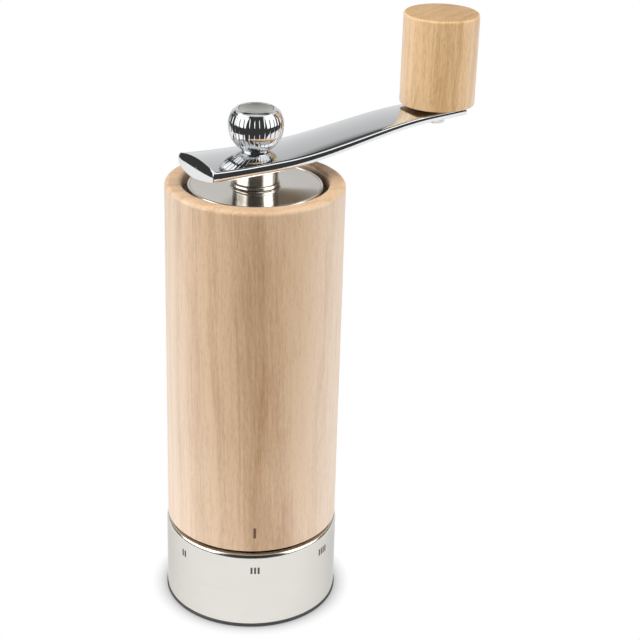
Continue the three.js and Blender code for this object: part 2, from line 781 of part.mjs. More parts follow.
// One unbroken coil between the rotor and the washer, flat turns at both ends.
function rotorSpring() {
  const wire = springWire / 2;
  const low = rotorTop + seatGap + wire;
  const high = hubFoot - runGap - washerThickness - seatGap - wire;
  const steps = springTurns * springStepsPerTurn;
  const places = [];
  const rings = [];
  for (let i = 0; i <= steps; i += 1) {
    const turns = i / springStepsPerTurn;
    const share = THREE.MathUtils.clamp((turns - 1) / (springTurns - 2), 0, 1);
    const ends = Math.min(turns, 1) + Math.max(turns - springTurns + 1, 0);
    const rest = high - low - 2 * (springWire + springEndGap);
    const height = low + rest * share + (springWire + springEndGap) * ends;
    const angle = 2 * Math.PI * turns;
    const outward = new THREE.Vector3(Math.cos(angle), Math.sin(angle), 0);
    const centre = outward.clone().multiplyScalar(springRadius).setZ(height);
    places.push(centre);
    const ring = [];
    for (let k = 0; k < springSides; k += 1) {
      const around = (2 * Math.PI * k) / springSides;
      ring.push(centre.clone().addScaledVector(outward, wire * Math.cos(around))
        .add(new THREE.Vector3(0, 0, wire * Math.sin(around))));
    }
    rings.push(ring.reverse());
  }
  let least = Infinity;
  for (let i = 0; i < places.length; i += 1) {
    for (let k = i + springStepsPerTurn / 2; k < places.length; k += 1) {
      least = Math.min(least, places[i].distanceTo(places[k]) - springWire);
    }
  }
  console.log(`rotor spring: least gap between turns ${least.toFixed(2)} mm`);
  return lofted(rings, false);
}

// Polished disc with a raised bead round its edge.
function lidDisc() {
  const foot = lidTop - lidThickness;
  const bead = arc(lidRadius - lidBead, lidTop - lidBead, lidBead, 0, 180, beadSteps);
  const face = lidTop - lidBead;
  return turned([
    [lidRadius, foot], ...bead,
    [lidBushRimRadius + lidBead, face], [lidBushRimRadius, lidTop],
    [lidBushRadius + seatGap, lidTop], [lidBushRadius + seatGap, foot],
  ], wideSteps);
}

function sealMiddle() {
  return insertFoot + sealHeight;
}

function lidInsert() {
  const skirtRadius = chamberRadius - runGap;
  const groove = chamberRadius - seatGap - 2 * sealRadius - seatGap;
  const sealLow = sealMiddle() - sealRadius - seatGap;
  const sealHigh = sealMiddle() + sealRadius + seatGap;
  const web = lidLedge + seatGap;
  const hole = lidBushRadius + seatGap;
  const flange = lidBoreRadius - runGap - seatGap;
  return turned([
    [skirtRadius, insertFoot], [skirtRadius, sealLow], [groove, sealLow],
    [groove, sealHigh], [skirtRadius, sealHigh], [skirtRadius, web],
    [flange, web], [flange, insertTop], [hole, insertTop], [hole, insertFoot],
    [lidBossRadius, insertFoot], [lidBossRadius, web],
    [skirtRadius - lidSkirtWall, web], [skirtRadius - lidSkirtWall, insertFoot],
  ], innerSteps);
}

function lidSeal() {
  const middle = chamberRadius - seatGap - sealRadius;
  const lastAngle = 360 - 360 / sealSides;
  return turned(arc(middle, sealMiddle(), sealRadius, 0, lastAngle, sealSides - 1), innerSteps);
}

function lidBush() {
  const tail = insertFoot - lidClipThickness - lidBushTail;
  const groove = lidBushRadius - lidClipBite - seatGap;
  const clipLow = insertFoot - 2 * seatGap - lidClipThickness;
  return turned([
    [lidBushRadius, tail], [lidBushRadius, clipLow - seatGap], [groove, clipLow - seatGap],
    [groove, insertFoot - seatGap], [lidBushRadius, insertFoot - seatGap],
    [lidBushRadius, bushRimFoot], [lidBushRimRadius, bushRimFoot], [lidBushRimRadius, bushRimTop],
    [bearingBore, bushRimTop], [bearingBore, tail],
  ], smallSteps);
}

function lidClip() {
  const high = insertFoot - 2 * seatGap;
  const low = high - lidClipThickness;
  return openRing(lidClipRadius, lidBushRadius - lidClipBite, clipOpening, low, high, smallSteps / 2);
}

// Outline of the arm across its length: crowned above, bulging at the sides, fuller below.
// The ends draw it in towards the middle of its height.
function armSection(distance, heightShare) {
  const side = armSideAt(distance);
  const edge = armEdgeAt(distance);
  const middle = edge - side / 2;
  const angles = armSideAngles.map(radians);
  const [first, last] = [angles[0], angles[angles.length - 1]];
  const bulge = side / (Math.sin(first) - Math.sin(last));
  const flank = angles.map((angle) => [
    armWidthAt(distance) / 2 - bulge * (1 - Math.cos(angle)),
    edge - bulge * (Math.sin(first) - Math.sin(angle)),
  ]);
  const between = flank.slice(1, -1);
  const top = flank[0];
  const bottom = flank[flank.length - 1];
  const points = [];
  for (let i = 0; i <= armCrownSteps; i += 1) {
    const across = 1 - (2 * i) / armCrownSteps;
    points.push([across * top[0], top[1] + armCrownAt(distance) * (1 - across * across)]);
  }
  points.push(...between.map(([y, z]) => [-y, z]));
  for (let i = 0; i <= armCrownSteps; i += 1) {
    const across = (2 * i) / armCrownSteps - 1;
    const belly = armSize(armBellyHub, armBellyTip, distance);
    points.push([across * bottom[0], bottom[1] - belly * (1 - across * across)]);
  }
  points.push(...between.reverse());
  return points.map(([y, z]) => new THREE.Vector3(distance, y, middle + (z - middle) * heightShare));
}

// One end of the arm: sections that draw in round its edge, outermost first.
function armEnd(distance, inward) {
  const depth = armSideAt(distance) * armEndShare;
  return armEndAngles.map((degrees) => {
    const back = depth * (1 - Math.cos(radians(degrees)));
    return armSection(distance + inward * back, Math.sin(radians(degrees)));
  });
}

function crankArm() {
  const rings = armEnd(-armTail, 1);
  for (let i = 1; i < armStations; i += 1) {
    rings.push(armSection(-armTail + ((armTip + armTail) * i) / armStations, 1));
  }
  rings.push(...armEnd(armTip, -1).reverse());
  const arm = lofted(rings, false);
  const boss = disc(bossRadius, bossFoot, armEdgeHeight - armSideHub / 2, innerSteps);
  const side = shaftAcross + 2 * runGap;
  const squareHole = box(side, side, bossFoot - overrun, armCrownHeight + overrun);
  const roundHole = disc(spindleRadius + seatGap, armEdgeHeight - overrun, gripFoot, smallSteps);
  return cut(join(arm, boss), squareHole, alongArm(roundHole));
}

// Fluted ball with a smooth rim above, a neck below, a recess for the cap and a blind bore.
function ballKnob() {
  const neckAngle = THREE.MathUtils.radToDeg(Math.acos(neckRadius / ballRadius));
  const topAngle = THREE.MathUtils.radToDeg(Math.asin(fluteTop / ballRadius));
  const ball = arc(0, ballCentre, ballRadius, -neckAngle, topAngle, ballSteps);
  const rimTop = ballCentre + knobRimRise;
  const fluted = sweptRound(fluteCount * flutePoints, (angle) => {
    const turn = (angle * fluteCount) / (2 * Math.PI);
    const inGroove = Math.abs(turn - Math.round(turn)) < 1 / (2 * flutePoints);
    const outside = ball.map(([radius, height], i) => {
      const plain = i === 0 || i === ball.length - 1 || !inGroove;
      return [plain ? radius : radius - (fluteDepth * radius) / ballRadius, height];
    });
    return [
      [0, knobFoot], [neckRadius, knobFoot], ...outside,
      [knobRimRadius + knobRimRound, rimTop - knobRimRound / 2], [knobRimRadius, rimTop], [0, rimTop],
    ];
  });
  const recess = disc(capRadius + seatGap, capFoot() - seatGap, rimTop + overrun, innerSteps);
  const bore = disc(knobNutRadius + seatGap, knobFoot - overrun, knobNutTop + knobBoreSpare, smallSteps);
  return cut(fluted, recess, bore);
}

function capFoot() {
  return ballCentre + knobRimRise - capRecess - capThickness;
}

// Cap with a shallow dished top inside a narrow land.
function knobCap() {
  const top = capFoot() + capThickness;
  const mouth = capRadius - capLand;
  const dish = capDishShares.map((share) => [mouth * share, top - capDish * (1 - share * share)]);
  return turned([[0, capFoot()], [capRadius, capFoot()], [capRadius, top], ...dish, [0, top - capDish]], innerSteps);
}

function knobNut() {
  const ring = ringShape(knobNutRadius, studRadius + seatGap, knobFoot + seatGap, knobNutTop);
  return turned(ring, smallSteps);
}

function spindleBore() {
  return spindleRadius + runGap;
}

function snapTop() {
  return gripFoot + gripBoreDepth - spindleSnapDrop;
}

// Riveted spindle: its head is under the arm and its snap end holds the grip.
function gripSpindle() {
  const headTop = armUndersideAt(crankRadius) - seatGap;
  const headFoot = headTop - spindleHeadHeight;
  const snapFoot = snapTop() - spindleSnapHeight;
  return alongArm(turned([
    [0, headFoot], [spindleHeadRadius - spindleHeadHeight / 2, headFoot],
    [spindleHeadRadius, headFoot + spindleHeadHeight / 2], [spindleHeadRadius, headTop],
    [spindleRadius, headTop], [spindleRadius, snapFoot], [spindleSnapRadius, snapFoot],
    [spindleSnapRadius, snapFoot + spindleSnapHeight / 2], [spindleRadius, snapTop()], [0, snapTop()],
  ], smallSteps));
}

function spindleWasher() {
  const low = armTopAt(crankRadius) + runGap;
  const ring = ringShape(gripWasherRadius, spindleRadius + seatGap, low, low + gripWasherThickness);
  return alongArm(turned(ring, smallSteps));
}

function crankGrip() {
  const low = arc(gripRadius - gripEdgeRound, gripFoot + gripEdgeRound, gripEdgeRound, -90, 0);
  const high = arc(gripRadius - gripEdgeRound, gripTop - gripEdgeRound, gripEdgeRound, 0, 90);
  const boreTop = gripFoot + gripBoreDepth;
  return alongArm(turned([
    ...low, ...high, [0, gripTop], [0, boreTop], [gripBoreRadius, boreTop], [gripBoreRadius, gripFoot],
  ], wideSteps));
}

// Plastic sleeve pressed into the grip. Its bore widens above for the spindle's snap end.
function gripBush() {
  const outer = gripBoreRadius - seatGap;
  const foot = gripFoot + seatGap;
  const top = gripFoot + gripBoreDepth - seatGap;
  const step = snapTop() - spindleSnapHeight - runGap;
  return alongArm(turned([
    [outer, foot], [outer, top], [spindleSnapRadius + runGap, top],
    [spindleSnapRadius + runGap, step], [spindleBore(), step], [spindleBore(), foot],
  ], smallSteps));
}

function finish(color, roughness, metalness) {
  return new THREE.MeshStandardMaterial({ color, roughness, metalness });
}

const finishes = {
  beech: finish(0xe2c8a6, 0.55, 0),
  gripBeech: finish(0xdcb887, 0.5, 0),
  satinSteel: finish(0xc9c6c0, 0.35, 1),
  polishedSteel: finish(0xd2d0cc, 0.08, 1),
  chrome: finish(0xd8d9db, 0.04, 1),
  darkPlastic: finish(0x2b2a29, 0.5, 0),
  footRubber: finish(0x3a3a3b, 0.7, 0),
  springSteel: finish(0x9a9a9c, 0.3, 1),
  burrSteel: finish(0x8f9092, 0.4, 1),
  brass: finish(0xb08d4a, 0.3, 1),
  silicone: finish(0xcfcfcb, 0.6, 0),
};

function piece(name, geometry, material) {
  const mesh = new THREE.Mesh(welded(geometry), material);
  mesh.name = name;
  return mesh;
}

const mill = new THREE.Group();
mill.add(
  piece('beech_body', beechBody(), finishes.beech),
  piece('mechanism_housing', mechanismHousing(), finishes.darkPlastic),
  piece('shaft_bearing', shaftBearing(), finishes.brass),
  piece('retaining_clip', retainingClip(), finishes.springSteel),
  piece('click_spring', clickSpring(), finishes.springSteel),
  piece('adjusting_ring', adjustingRing(), finishes.satinSteel),
  piece('ring_core', ringCore(), finishes.darkPlastic),
  piece('foot_ring', footRing(), finishes.footRubber),
  piece('stator_carrier', statorCarrier(), finishes.darkPlastic),
  piece('stator_burr', statorBurr(), finishes.burrSteel),
  piece('cam_pin', camPin(), finishes.springSteel),
  piece('lid_disc', lidDisc(), finishes.polishedSteel),
  piece('lid_insert', lidInsert(), finishes.darkPlastic),
  piece('lid_seal', lidSeal(), finishes.silicone),
  piece('lid_bush', lidBush(), finishes.polishedSteel),
  piece('lid_clip', lidClip(), finishes.springSteel),
);
screwPlaces().forEach((degrees, i) => {
  const screw = aroundAxis(housingScrew(), screwCircle, degrees);
  mill.add(piece(`housing_screw_${i + 1}`, screw, finishes.springSteel));
});

// What turns with the crank stands in its own group, turned to the crank's rest angle.
const crank = new THREE.Group();
crank.rotation.z = radians(crankAngle);
crank.add(
  piece('drive_shaft', driveShaft(), finishes.satinSteel),
  piece('rotor_burr', rotorBurr(), finishes.burrSteel),
  piece('rotor_nut', rotorNut(), finishes.springSteel),
  piece('rotor_spring', rotorSpring(), finishes.springSteel),
  piece('thrust_washer', thrustWasher(), finishes.brass),
  piece('shaft_clip', shaftClip(), finishes.springSteel),
  piece('crank_arm', crankArm(), finishes.chrome),
  piece('ball_knob', ballKnob(), finishes.chrome),
  piece('knob_cap', knobCap(), finishes.polishedSteel),
  piece('knob_nut', knobNut(), finishes.brass),
  piece('grip_spindle', gripSpindle(), finishes.polishedSteel),
  piece('spindle_washer', spindleWasher(), finishes.springSteel),
  piece('crank_grip', crankGrip(), finishes.gripBeech),
  piece('grip_bush', gripBush(), finishes.darkPlastic),
);
mill.add(crank);

export default mill;
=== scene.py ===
import math
import bmesh
import bpy
from mathutils import Matrix, Vector


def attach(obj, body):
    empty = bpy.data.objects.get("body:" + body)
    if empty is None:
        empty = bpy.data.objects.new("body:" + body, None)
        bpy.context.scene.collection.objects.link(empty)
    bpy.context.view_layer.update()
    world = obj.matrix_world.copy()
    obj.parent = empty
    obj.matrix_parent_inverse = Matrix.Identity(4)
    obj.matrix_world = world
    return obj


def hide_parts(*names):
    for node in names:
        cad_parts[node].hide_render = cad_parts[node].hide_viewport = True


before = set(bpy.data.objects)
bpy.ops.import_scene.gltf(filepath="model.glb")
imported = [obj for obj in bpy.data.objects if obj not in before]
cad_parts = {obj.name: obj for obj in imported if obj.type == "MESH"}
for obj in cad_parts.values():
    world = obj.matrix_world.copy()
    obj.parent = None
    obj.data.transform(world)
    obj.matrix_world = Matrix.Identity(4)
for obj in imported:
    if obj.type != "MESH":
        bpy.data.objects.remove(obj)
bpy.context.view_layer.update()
mm = 0.001  # the sizes of the pieces are in millimetres; finishes, floor and lamps are in metres
weldDistance = 0.0005 * mm
print("frame loaded:", len(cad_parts), "nodes")


# Node helpers

def addNode(tree, kind, inputs=None, **settings):
    node = tree.nodes.new(kind)
    for key, value in settings.items():
        setattr(node, key, value)
    for key, value in (inputs or {}).items():
        if isinstance(value, bpy.types.NodeSocket):
            tree.links.new(value, node.inputs[key])
        else:
            node.inputs[key].default_value = value
    return node


def calculate(tree, operation, *values):
    node = addNode(tree, "ShaderNodeMath", dict(enumerate(values)), operation=operation)
    return node.outputs[0]


def calculateVector(tree, operation, *values):
    node = addNode(tree, "ShaderNodeVectorMath", dict(enumerate(values)), operation=operation)
    return node.outputs["Value" if operation == "LENGTH" else "Vector"]


def coordinate(tree, name):
    return tree.nodes.new("ShaderNodeTexCoord").outputs[name]


def split(tree, vector):
    return addNode(tree, "ShaderNodeSeparateXYZ", {0: vector}).outputs


def ramp(tree, value, low, high, lowOut=0.0, highOut=1.0, smooth=True):
    inputs = {"Value": value, "From Min": low, "From Max": high, "To Min": lowOut, "To Max": highOut}
    kind = "SMOOTHSTEP" if smooth else "LINEAR"
    return addNode(tree, "ShaderNodeMapRange", inputs, interpolation_type=kind).outputs["Result"]


def mixColor(tree, share, first, second, blend="MIX"):
    inputs = {0: share, 6: first, 7: second}
    return addNode(tree, "ShaderNodeMix", inputs, data_type="RGBA", blend_type=blend).outputs[2]


def stretch(tree, position, scale, rotation=(0, 0, 0)):
    inputs = {"Vector": position, "Scale": scale, "Rotation": rotation}
    return addNode(tree, "ShaderNodeMapping", inputs).outputs["Vector"]


def noiseOn(tree, vector, scale=1.0, detail=2.0, roughness=0.5):
    inputs = {"Vector": vector, "Scale": scale, "Detail": detail, "Roughness": roughness}
    return addNode(tree, "ShaderNodeTexNoise", inputs).outputs[0]


def newGroup(name, inputs, outputs):
    tree = bpy.data.node_groups.new(name, "ShaderNodeTree")
    kinds = {"color": "NodeSocketColor", "value": "NodeSocketFloat", "vector": "NodeSocketVector"}
    for side, sockets in (("INPUT", inputs), ("OUTPUT", outputs)):
        for label, kind in sockets:
            tree.interface.new_socket(name=label, in_out=side, socket_type=kinds[kind])
    return tree, tree.nodes.new("NodeGroupInput").outputs, tree.nodes.new("NodeGroupOutput").inputs


# Effects that several materials share

# Noise scales are waves per metre across, across and along the grain. A pair is where a ramp starts and
# ends, and two more numbers are what it gives there.
grainPlan = {
    "drift": (70, 70, 9), "ringDrift": 0.008, "heartDrift": 0.006, "bandDetail": 3.0, "bandRoughness": 0.62,
    "bands": (0.34, 0.68), "heartEdge": (0.35, 1.0, 1.0, 0.0), "heartFade": (0.0, 0.03),
    "fibre": (3400, 3400, 330), "fibreRoughness": 0.6, "fibreTone": (0.32, 0.7, -0.5, 0.5),
    "strand": (1300, 1300, 60), "strandRoughness": 0.55, "strandTone": (0.34, 0.7, -0.4, 0.4),
    "mottle": (150, 150, 22), "mottleDetail": 3.0, "mottleTone": (0.3, 0.7, -0.1, 0.14),
    "cells": (1900, 1900, 380), "dash": (0.08, 0.4, 1.0, 0.0), "keptCells": (0.35, 0.6),
    "fibreRelief": 0.6, "sheen": (0.3, 0.7, 0.42, 0.55)}


# Solid beech: bands of growth rings round a pith line beside the piece, a broad darker heart stripe that
# ends at a height, dense short fibres and small dark flecks; Lean tips the grain a little off the upright
def makeBeechGrain(plan):
    tree, given, out = newGroup(
        "beechGrain",
        [("Position", "vector"), ("Lean", "vector"), ("Pith", "vector"), ("Light", "color"),
         ("Dark", "color"), ("Fleck", "color"), ("Ring Width", "value"), ("Ring Amount", "value"),
         ("Fibre Amount", "value"), ("Fleck Amount", "value"), ("Heart Place", "value"),
         ("Heart Width", "value"), ("Heart Amount", "value"), ("Heart End", "value")],
        [("Color", "color"), ("Height", "value"), ("Roughness", "value")])
    place = stretch(tree, given["Position"], (1, 1, 1), given["Lean"])
    drift = noiseOn(tree, stretch(tree, place, plan["drift"]))
    apart = calculateVector(tree, "SUBTRACT", place, given["Pith"])
    away = calculateVector(tree, "LENGTH", calculateVector(tree, "MULTIPLY", apart, (1, 1, 0)))
    wavy = calculate(tree, "MULTIPLY_ADD", drift, plan["ringDrift"], away)
    rings = calculate(tree, "DIVIDE", wavy, given["Ring Width"])
    bands = addNode(
        tree, "ShaderNodeTexNoise",
        {"W": rings, "Scale": 1.0, "Detail": plan["bandDetail"], "Roughness": plan["bandRoughness"]},
        noise_dimensions="1D").outputs[0]
    across, _, along = split(tree, place)
    beside = calculate(tree, "SUBTRACT", across, given["Heart Place"])
    beside = calculate(tree, "MULTIPLY_ADD", drift, plan["heartDrift"], beside)
    beside = calculate(tree, "DIVIDE", calculate(tree, "ABSOLUTE", beside), given["Heart Width"])
    below = calculate(tree, "SUBTRACT", given["Heart End"], along)
    heart = calculate(tree, "MULTIPLY", ramp(tree, beside, *plan["heartEdge"]),
                      ramp(tree, below, *plan["heartFade"]))
    fibre = noiseOn(tree, stretch(tree, place, plan["fibre"]), roughness=plan["fibreRoughness"])
    strand = noiseOn(tree, stretch(tree, place, plan["strand"]), roughness=plan["strandRoughness"])
    mottle = noiseOn(tree, stretch(tree, place, plan["mottle"]), detail=plan["mottleDetail"])
    depth = calculate(tree, "MULTIPLY", ramp(tree, bands, *plan["bands"]), given["Ring Amount"])
    depth = calculate(tree, "MULTIPLY_ADD", heart, given["Heart Amount"], depth)
    depth = calculate(tree, "ADD", depth, ramp(tree, mottle, *plan["mottleTone"]))
    fine = calculate(tree, "ADD", ramp(tree, fibre, *plan["fibreTone"]),
                     ramp(tree, strand, *plan["strandTone"]))
    depth = calculate(tree, "MULTIPLY_ADD", fine, given["Fibre Amount"], depth)
    tone = mixColor(tree, depth, given["Light"], given["Dark"])
    spread = stretch(tree, place, plan["cells"])
    cell = addNode(tree, "ShaderNodeTexVoronoi", {"Vector": spread, "Scale": 1.0}).outputs
    chance = addNode(tree, "ShaderNodeSeparateColor", {0: cell["Color"]}).outputs[0]
    speck = calculate(tree, "MULTIPLY", ramp(tree, cell["Distance"], *plan["dash"]),
                      ramp(tree, chance, *plan["keptCells"]))
    speck = calculate(tree, "MULTIPLY", speck, given["Fleck Amount"])
    tree.links.new(mixColor(tree, speck, tone, given["Fleck"]), out["Color"])
    raised = calculate(tree, "MULTIPLY", fibre, plan["fibreRelief"])
    tree.links.new(calculate(tree, "MULTIPLY_ADD", speck, -1.0, raised), out["Height"])
    tree.links.new(ramp(tree, fibre, *plan["sheen"]), out["Roughness"])
    return tree


brushPlan = {"detail": 3.0, "roughness": 0.65, "broadScale": 90.0, "fineShare": 0.75, "tones": (0.35, 0.68),
             "middle": 0.5}


# Fine parallel lines left by a belt or a cutter; Lines stretches the position so that they run one way
def makeBrushedLines(plan):
    tree, given, out = newGroup(
        "brushedLines",
        [("Position", "vector"), ("Lines", "vector"), ("Tone", "color"), ("Shade", "color"),
         ("Roughness", "value"), ("Spread", "value")],
        [("Color", "color"), ("Roughness", "value"), ("Height", "value")])
    along = calculateVector(tree, "MULTIPLY", given["Position"], given["Lines"])
    fine = noiseOn(tree, along, detail=plan["detail"], roughness=plan["roughness"])
    broad = calculate(tree, "MULTIPLY", noiseOn(tree, given["Position"], plan["broadScale"]),
                      1 - plan["fineShare"])
    mixed = calculate(tree, "MULTIPLY_ADD", fine, plan["fineShare"], broad)
    tone = mixColor(tree, ramp(tree, mixed, *plan["tones"]), given["Tone"], given["Shade"])
    tree.links.new(tone, out["Color"])
    offset = calculate(tree, "MULTIPLY", calculate(tree, "SUBTRACT", mixed, plan["middle"]), given["Spread"])
    tree.links.new(calculate(tree, "ADD", offset, given["Roughness"]), out["Roughness"])
    tree.links.new(fine, out["Height"])
    return tree


handlingPlan = {"smearScale": 75.0, "smearDetail": 4.0, "smearRoughness": 0.6, "smears": (0.48, 0.78),
                "hairs": (((5200, 90, 300), (0.2, 0.1, 0.7)), ((80, 4600, 260), (0.1, -0.2, 0.35))),
                "hairDetail": 1.0, "hairEdge": (0.7, 0.78)}


# Handling marks on a polished surface: soft smears, and hairline scratches in two directions
def makeHandlingMarks(plan):
    tree, given, out = newGroup(
        "handlingMarks",
        [("Position", "vector"), ("Roughness", "value"), ("Smear", "value"), ("Scratch", "value")],
        [("Roughness", "value"), ("Height", "value")])
    smear = ramp(tree, noiseOn(tree, given["Position"], plan["smearScale"], plan["smearDetail"],
                               plan["smearRoughness"]), *plan["smears"])
    lines = []
    for scale, rotation in plan["hairs"]:
        hair = noiseOn(tree, stretch(tree, given["Position"], scale, rotation), detail=plan["hairDetail"])
        lines.append(ramp(tree, hair, *plan["hairEdge"]))
    hairs = calculate(tree, "MAXIMUM", *lines)
    worn = calculate(tree, "MULTIPLY_ADD", smear, given["Smear"], given["Roughness"])
    tree.links.new(calculate(tree, "MULTIPLY_ADD", hairs, given["Scratch"], worn), out["Roughness"])
    tree.links.new(calculate(tree, "MULTIPLY", hairs, -1.0), out["Height"])
    return tree


mouldPlan = {"broadScale": 60.0, "broadDetail": 3.0, "tones": (0.35, 0.7), "swing": (0.3, 0.7, -0.06, 0.08)}


# Fine even texture of a moulded or cast surface, with a slight change of tone
def makeMouldedSkin(plan):
    tree, given, out = newGroup(
        "mouldedSkin",
        [("Position", "vector"), ("Grain", "value"), ("Tone", "color"), ("Shade", "color"),
         ("Roughness", "value")],
        [("Color", "color"), ("Roughness", "value"), ("Height", "value")])
    broad = noiseOn(tree, given["Position"], plan["broadScale"], plan["broadDetail"])
    tone = mixColor(tree, ramp(tree, broad, *plan["tones"]), given["Tone"], given["Shade"])
    tree.links.new(tone, out["Color"])
    tree.links.new(calculate(tree, "ADD", given["Roughness"], ramp(tree, broad, *plan["swing"])),
                   out["Roughness"])
    tree.links.new(noiseOn(tree, given["Position"], given["Grain"]), out["Height"])
    return tree


beechGrain = makeBeechGrain(grainPlan)
brushedLines = makeBrushedLines(brushPlan)
handlingMarks = makeHandlingMarks(handlingPlan)
mouldedSkin = makeMouldedSkin(mouldPlan)


# Materials

# A Principled surface fed by one of the groups; its uniform values sit on the shader itself, and the
# relief is in millimetres
def makeFinish(name, group, values, surface, relief):
    material = bpy.data.materials.new(name)
    material.use_nodes = True
    tree = material.node_tree
    shader = tree.nodes["Principled BSDF"]
    effect = addNode(tree, "ShaderNodeGroup", node_tree=group)
    tree.links.new(coordinate(tree, "Object"), effect.inputs["Position"])
    for key, value in values.items():
        effect.inputs[key].default_value = value
    for key, value in surface.items():
        shader.inputs[key].default_value = value
    if "Color" in effect.outputs:
        tree.links.new(effect.outputs["Color"], shader.inputs["Base Color"])
    tree.links.new(effect.outputs["Roughness"], shader.inputs["Roughness"])
    bump = addNode(tree, "ShaderNodeBump",
                   {"Height": effect.outputs["Height"], "Distance": relief * mm, "Strength": 1.0})
    tree.links.new(bump.outputs["Normal"], shader.inputs["Normal"])
    return material


oilPlan = {"sideGrain": (0.3, 0.9, 1.0, 0.0), "grainEndsAndShade": (0.75, 0.98)}


# Oiled side grain shines softly where it turns away. Faces that point up or down get no shine and a darker
# colour: partly end grain soaking up the oil, and partly painted shade on the tops
def addOil(material, shine, grainEndShadeTone, plan):
    tree = material.node_tree
    shader = tree.nodes["Principled BSDF"]
    facing = tree.nodes.new("ShaderNodeLayerWeight").outputs["Facing"]
    upright = calculate(tree, "ABSOLUTE", split(tree, coordinate(tree, "Normal"))[2])
    coat = calculate(tree, "MULTIPLY", ramp(tree, facing, *shine, smooth=False),
                     ramp(tree, upright, *plan["sideGrain"]))
    tree.links.new(coat, shader.inputs["Coat Weight"])
    grain = shader.inputs["Base Color"].links[0].from_socket
    # Painted shade on faces that point up or down, on top of the darker end grain
    grainEndsShaded = mixColor(tree, ramp(tree, upright, *plan["grainEndsAndShade"]), grain, grainEndShadeTone, "MULTIPLY")
    tree.links.new(grainEndsShaded, shader.inputs["Base Color"])


# The tone is a painted shade colour for the arm's downward faces
undersideShadePlan = {"below": (-0.96, -0.8, 1.0, 0.0), "tone": (0.34, 0.29, 0.23, 1), "roughness": 0.25}


# The underside of the arm is left dull from the press, and where its faces point down its colour turns a
# dark brown, which is painted shade
def shadedRoughUnderside(material, plan):
    tree = material.node_tree
    shader = tree.nodes["Principled BSDF"]
    below = ramp(tree, split(tree, coordinate(tree, "Normal"))[2], *plan["below"])
    polished = shader.inputs["Base Color"].default_value[:]
    # Painted shade: downward faces take the dark brown tone
    tree.links.new(mixColor(tree, below, polished, plan["tone"]), shader.inputs["Base Color"])
    worn = shader.inputs["Roughness"].links[0].from_socket
    dulled = calculate(tree, "MULTIPLY_ADD", below, plan["roughness"], worn)
    tree.links.new(dulled, shader.inputs["Roughness"])


oiled = {"Specular IOR Level": 0.5, "Coat IOR": 4.0, "Coat Roughness": 0.55}
metal = {"Metallic": 1.0}
beech = makeFinish(
    "beechOiled", beechGrain,
    {"Lean": (0, 0.035, 0), "Pith": (-0.034, 0.0728, 0), "Light": (0.84, 0.59, 0.37, 1),
     "Dark": (0.56, 0.325, 0.17, 1), "Fleck": (0.4, 0.21, 0.1, 1), "Ring Width": 0.0034, "Ring Amount": 0.42,
     "Fibre Amount": 0.34, "Fleck Amount": 0.24, "Heart Place": 0.0088, "Heart Width": 0.01,
     "Heart Amount": 0.42, "Heart End": 0.151},
    oiled, relief=0.02)
gripBeech = makeFinish(
    "beechGrip", beechGrain,
    {"Lean": (0.02, -0.02, 0), "Pith": (0.12, -0.02, 0), "Light": (0.93, 0.63, 0.34, 1),
     "Dark": (0.66, 0.375, 0.16, 1), "Fleck": (0.42, 0.2, 0.075, 1), "Ring Width": 0.003, "Ring Amount": 0.4,
     "Fibre Amount": 0.45, "Fleck Amount": 0.33, "Heart Place": 0.061, "Heart Width": 0.007,
     "Heart Amount": 0.25, "Heart End": 0.3},
    oiled, relief=0.02)
# The last colour darkens the end grain, and is partly painted shade on the tops
addOil(beech, (0.14, 0.62), (0.97, 0.96, 0.96, 1), oilPlan)
addOil(gripBeech, (0.2, 0.75), (0.68, 0.645, 0.59, 1), oilPlan)
satinSteel = makeFinish(
    "steelSatin", brushedLines,
    {"Lines": (60, 60, 9000), "Tone": (0.79, 0.77, 0.72, 1), "Shade": (0.76, 0.74, 0.69, 1),
     "Roughness": 0.17, "Spread": 0.06},
    {**metal, "Specular Tint": (0.8, 0.8, 0.8, 1)}, relief=0.0004)
polishedSteel = makeFinish(
    "steelPolished", handlingMarks, {"Roughness": 0.09, "Smear": 0.08, "Scratch": 0.1},
    {**metal, "Base Color": (0.72, 0.69, 0.64, 1)}, relief=0.0015)
capSteel = makeFinish(
    "steelCap", handlingMarks, {"Roughness": 0.2, "Smear": 0.08, "Scratch": 0.1},
    {**metal, "Base Color": (0.5, 0.5, 0.46, 1)}, relief=0.002)
turnedSteel = makeFinish(
    "steelTurned", brushedLines,
    {"Lines": (90, 90, 7000), "Tone": (0.74, 0.71, 0.65, 1), "Shade": (0.68, 0.65, 0.59, 1),
     "Roughness": 0.24, "Spread": 0.1},
    metal, relief=0.0003)
chrome = makeFinish(
    "chromeBright", handlingMarks, {"Roughness": 0.045, "Smear": 0.04, "Scratch": 0.08},
    {**metal, "Base Color": (0.8, 0.81, 0.82, 1)}, relief=0.0012)
chromeArm = chrome.copy()
chromeArm.name = "chromeArm"
shadedRoughUnderside(chromeArm, undersideShadePlan)
darkPlastic = makeFinish(
    "plasticDark", mouldedSkin,
    {"Grain": 2600.0, "Tone": (0.022, 0.021, 0.02, 1), "Shade": (0.034, 0.033, 0.031, 1), "Roughness": 0.48},
    {}, relief=0.01)
footRubber = makeFinish(
    "rubberFoot", mouldedSkin,
    {"Grain": 3400.0, "Tone": (0.036, 0.036, 0.037, 1), "Shade": (0.05, 0.05, 0.051, 1), "Roughness": 0.55},
    {}, relief=0.012)
siliconeSoft = makeFinish(
    "siliconeSoft", mouldedSkin,
    {"Grain": 1800.0, "Tone": (0.62, 0.62, 0.6, 1), "Shade": (0.54, 0.54, 0.52, 1), "Roughness": 0.5},
    {"Subsurface Weight": 0.1, "Subsurface Scale": 0.001}, relief=0.006)
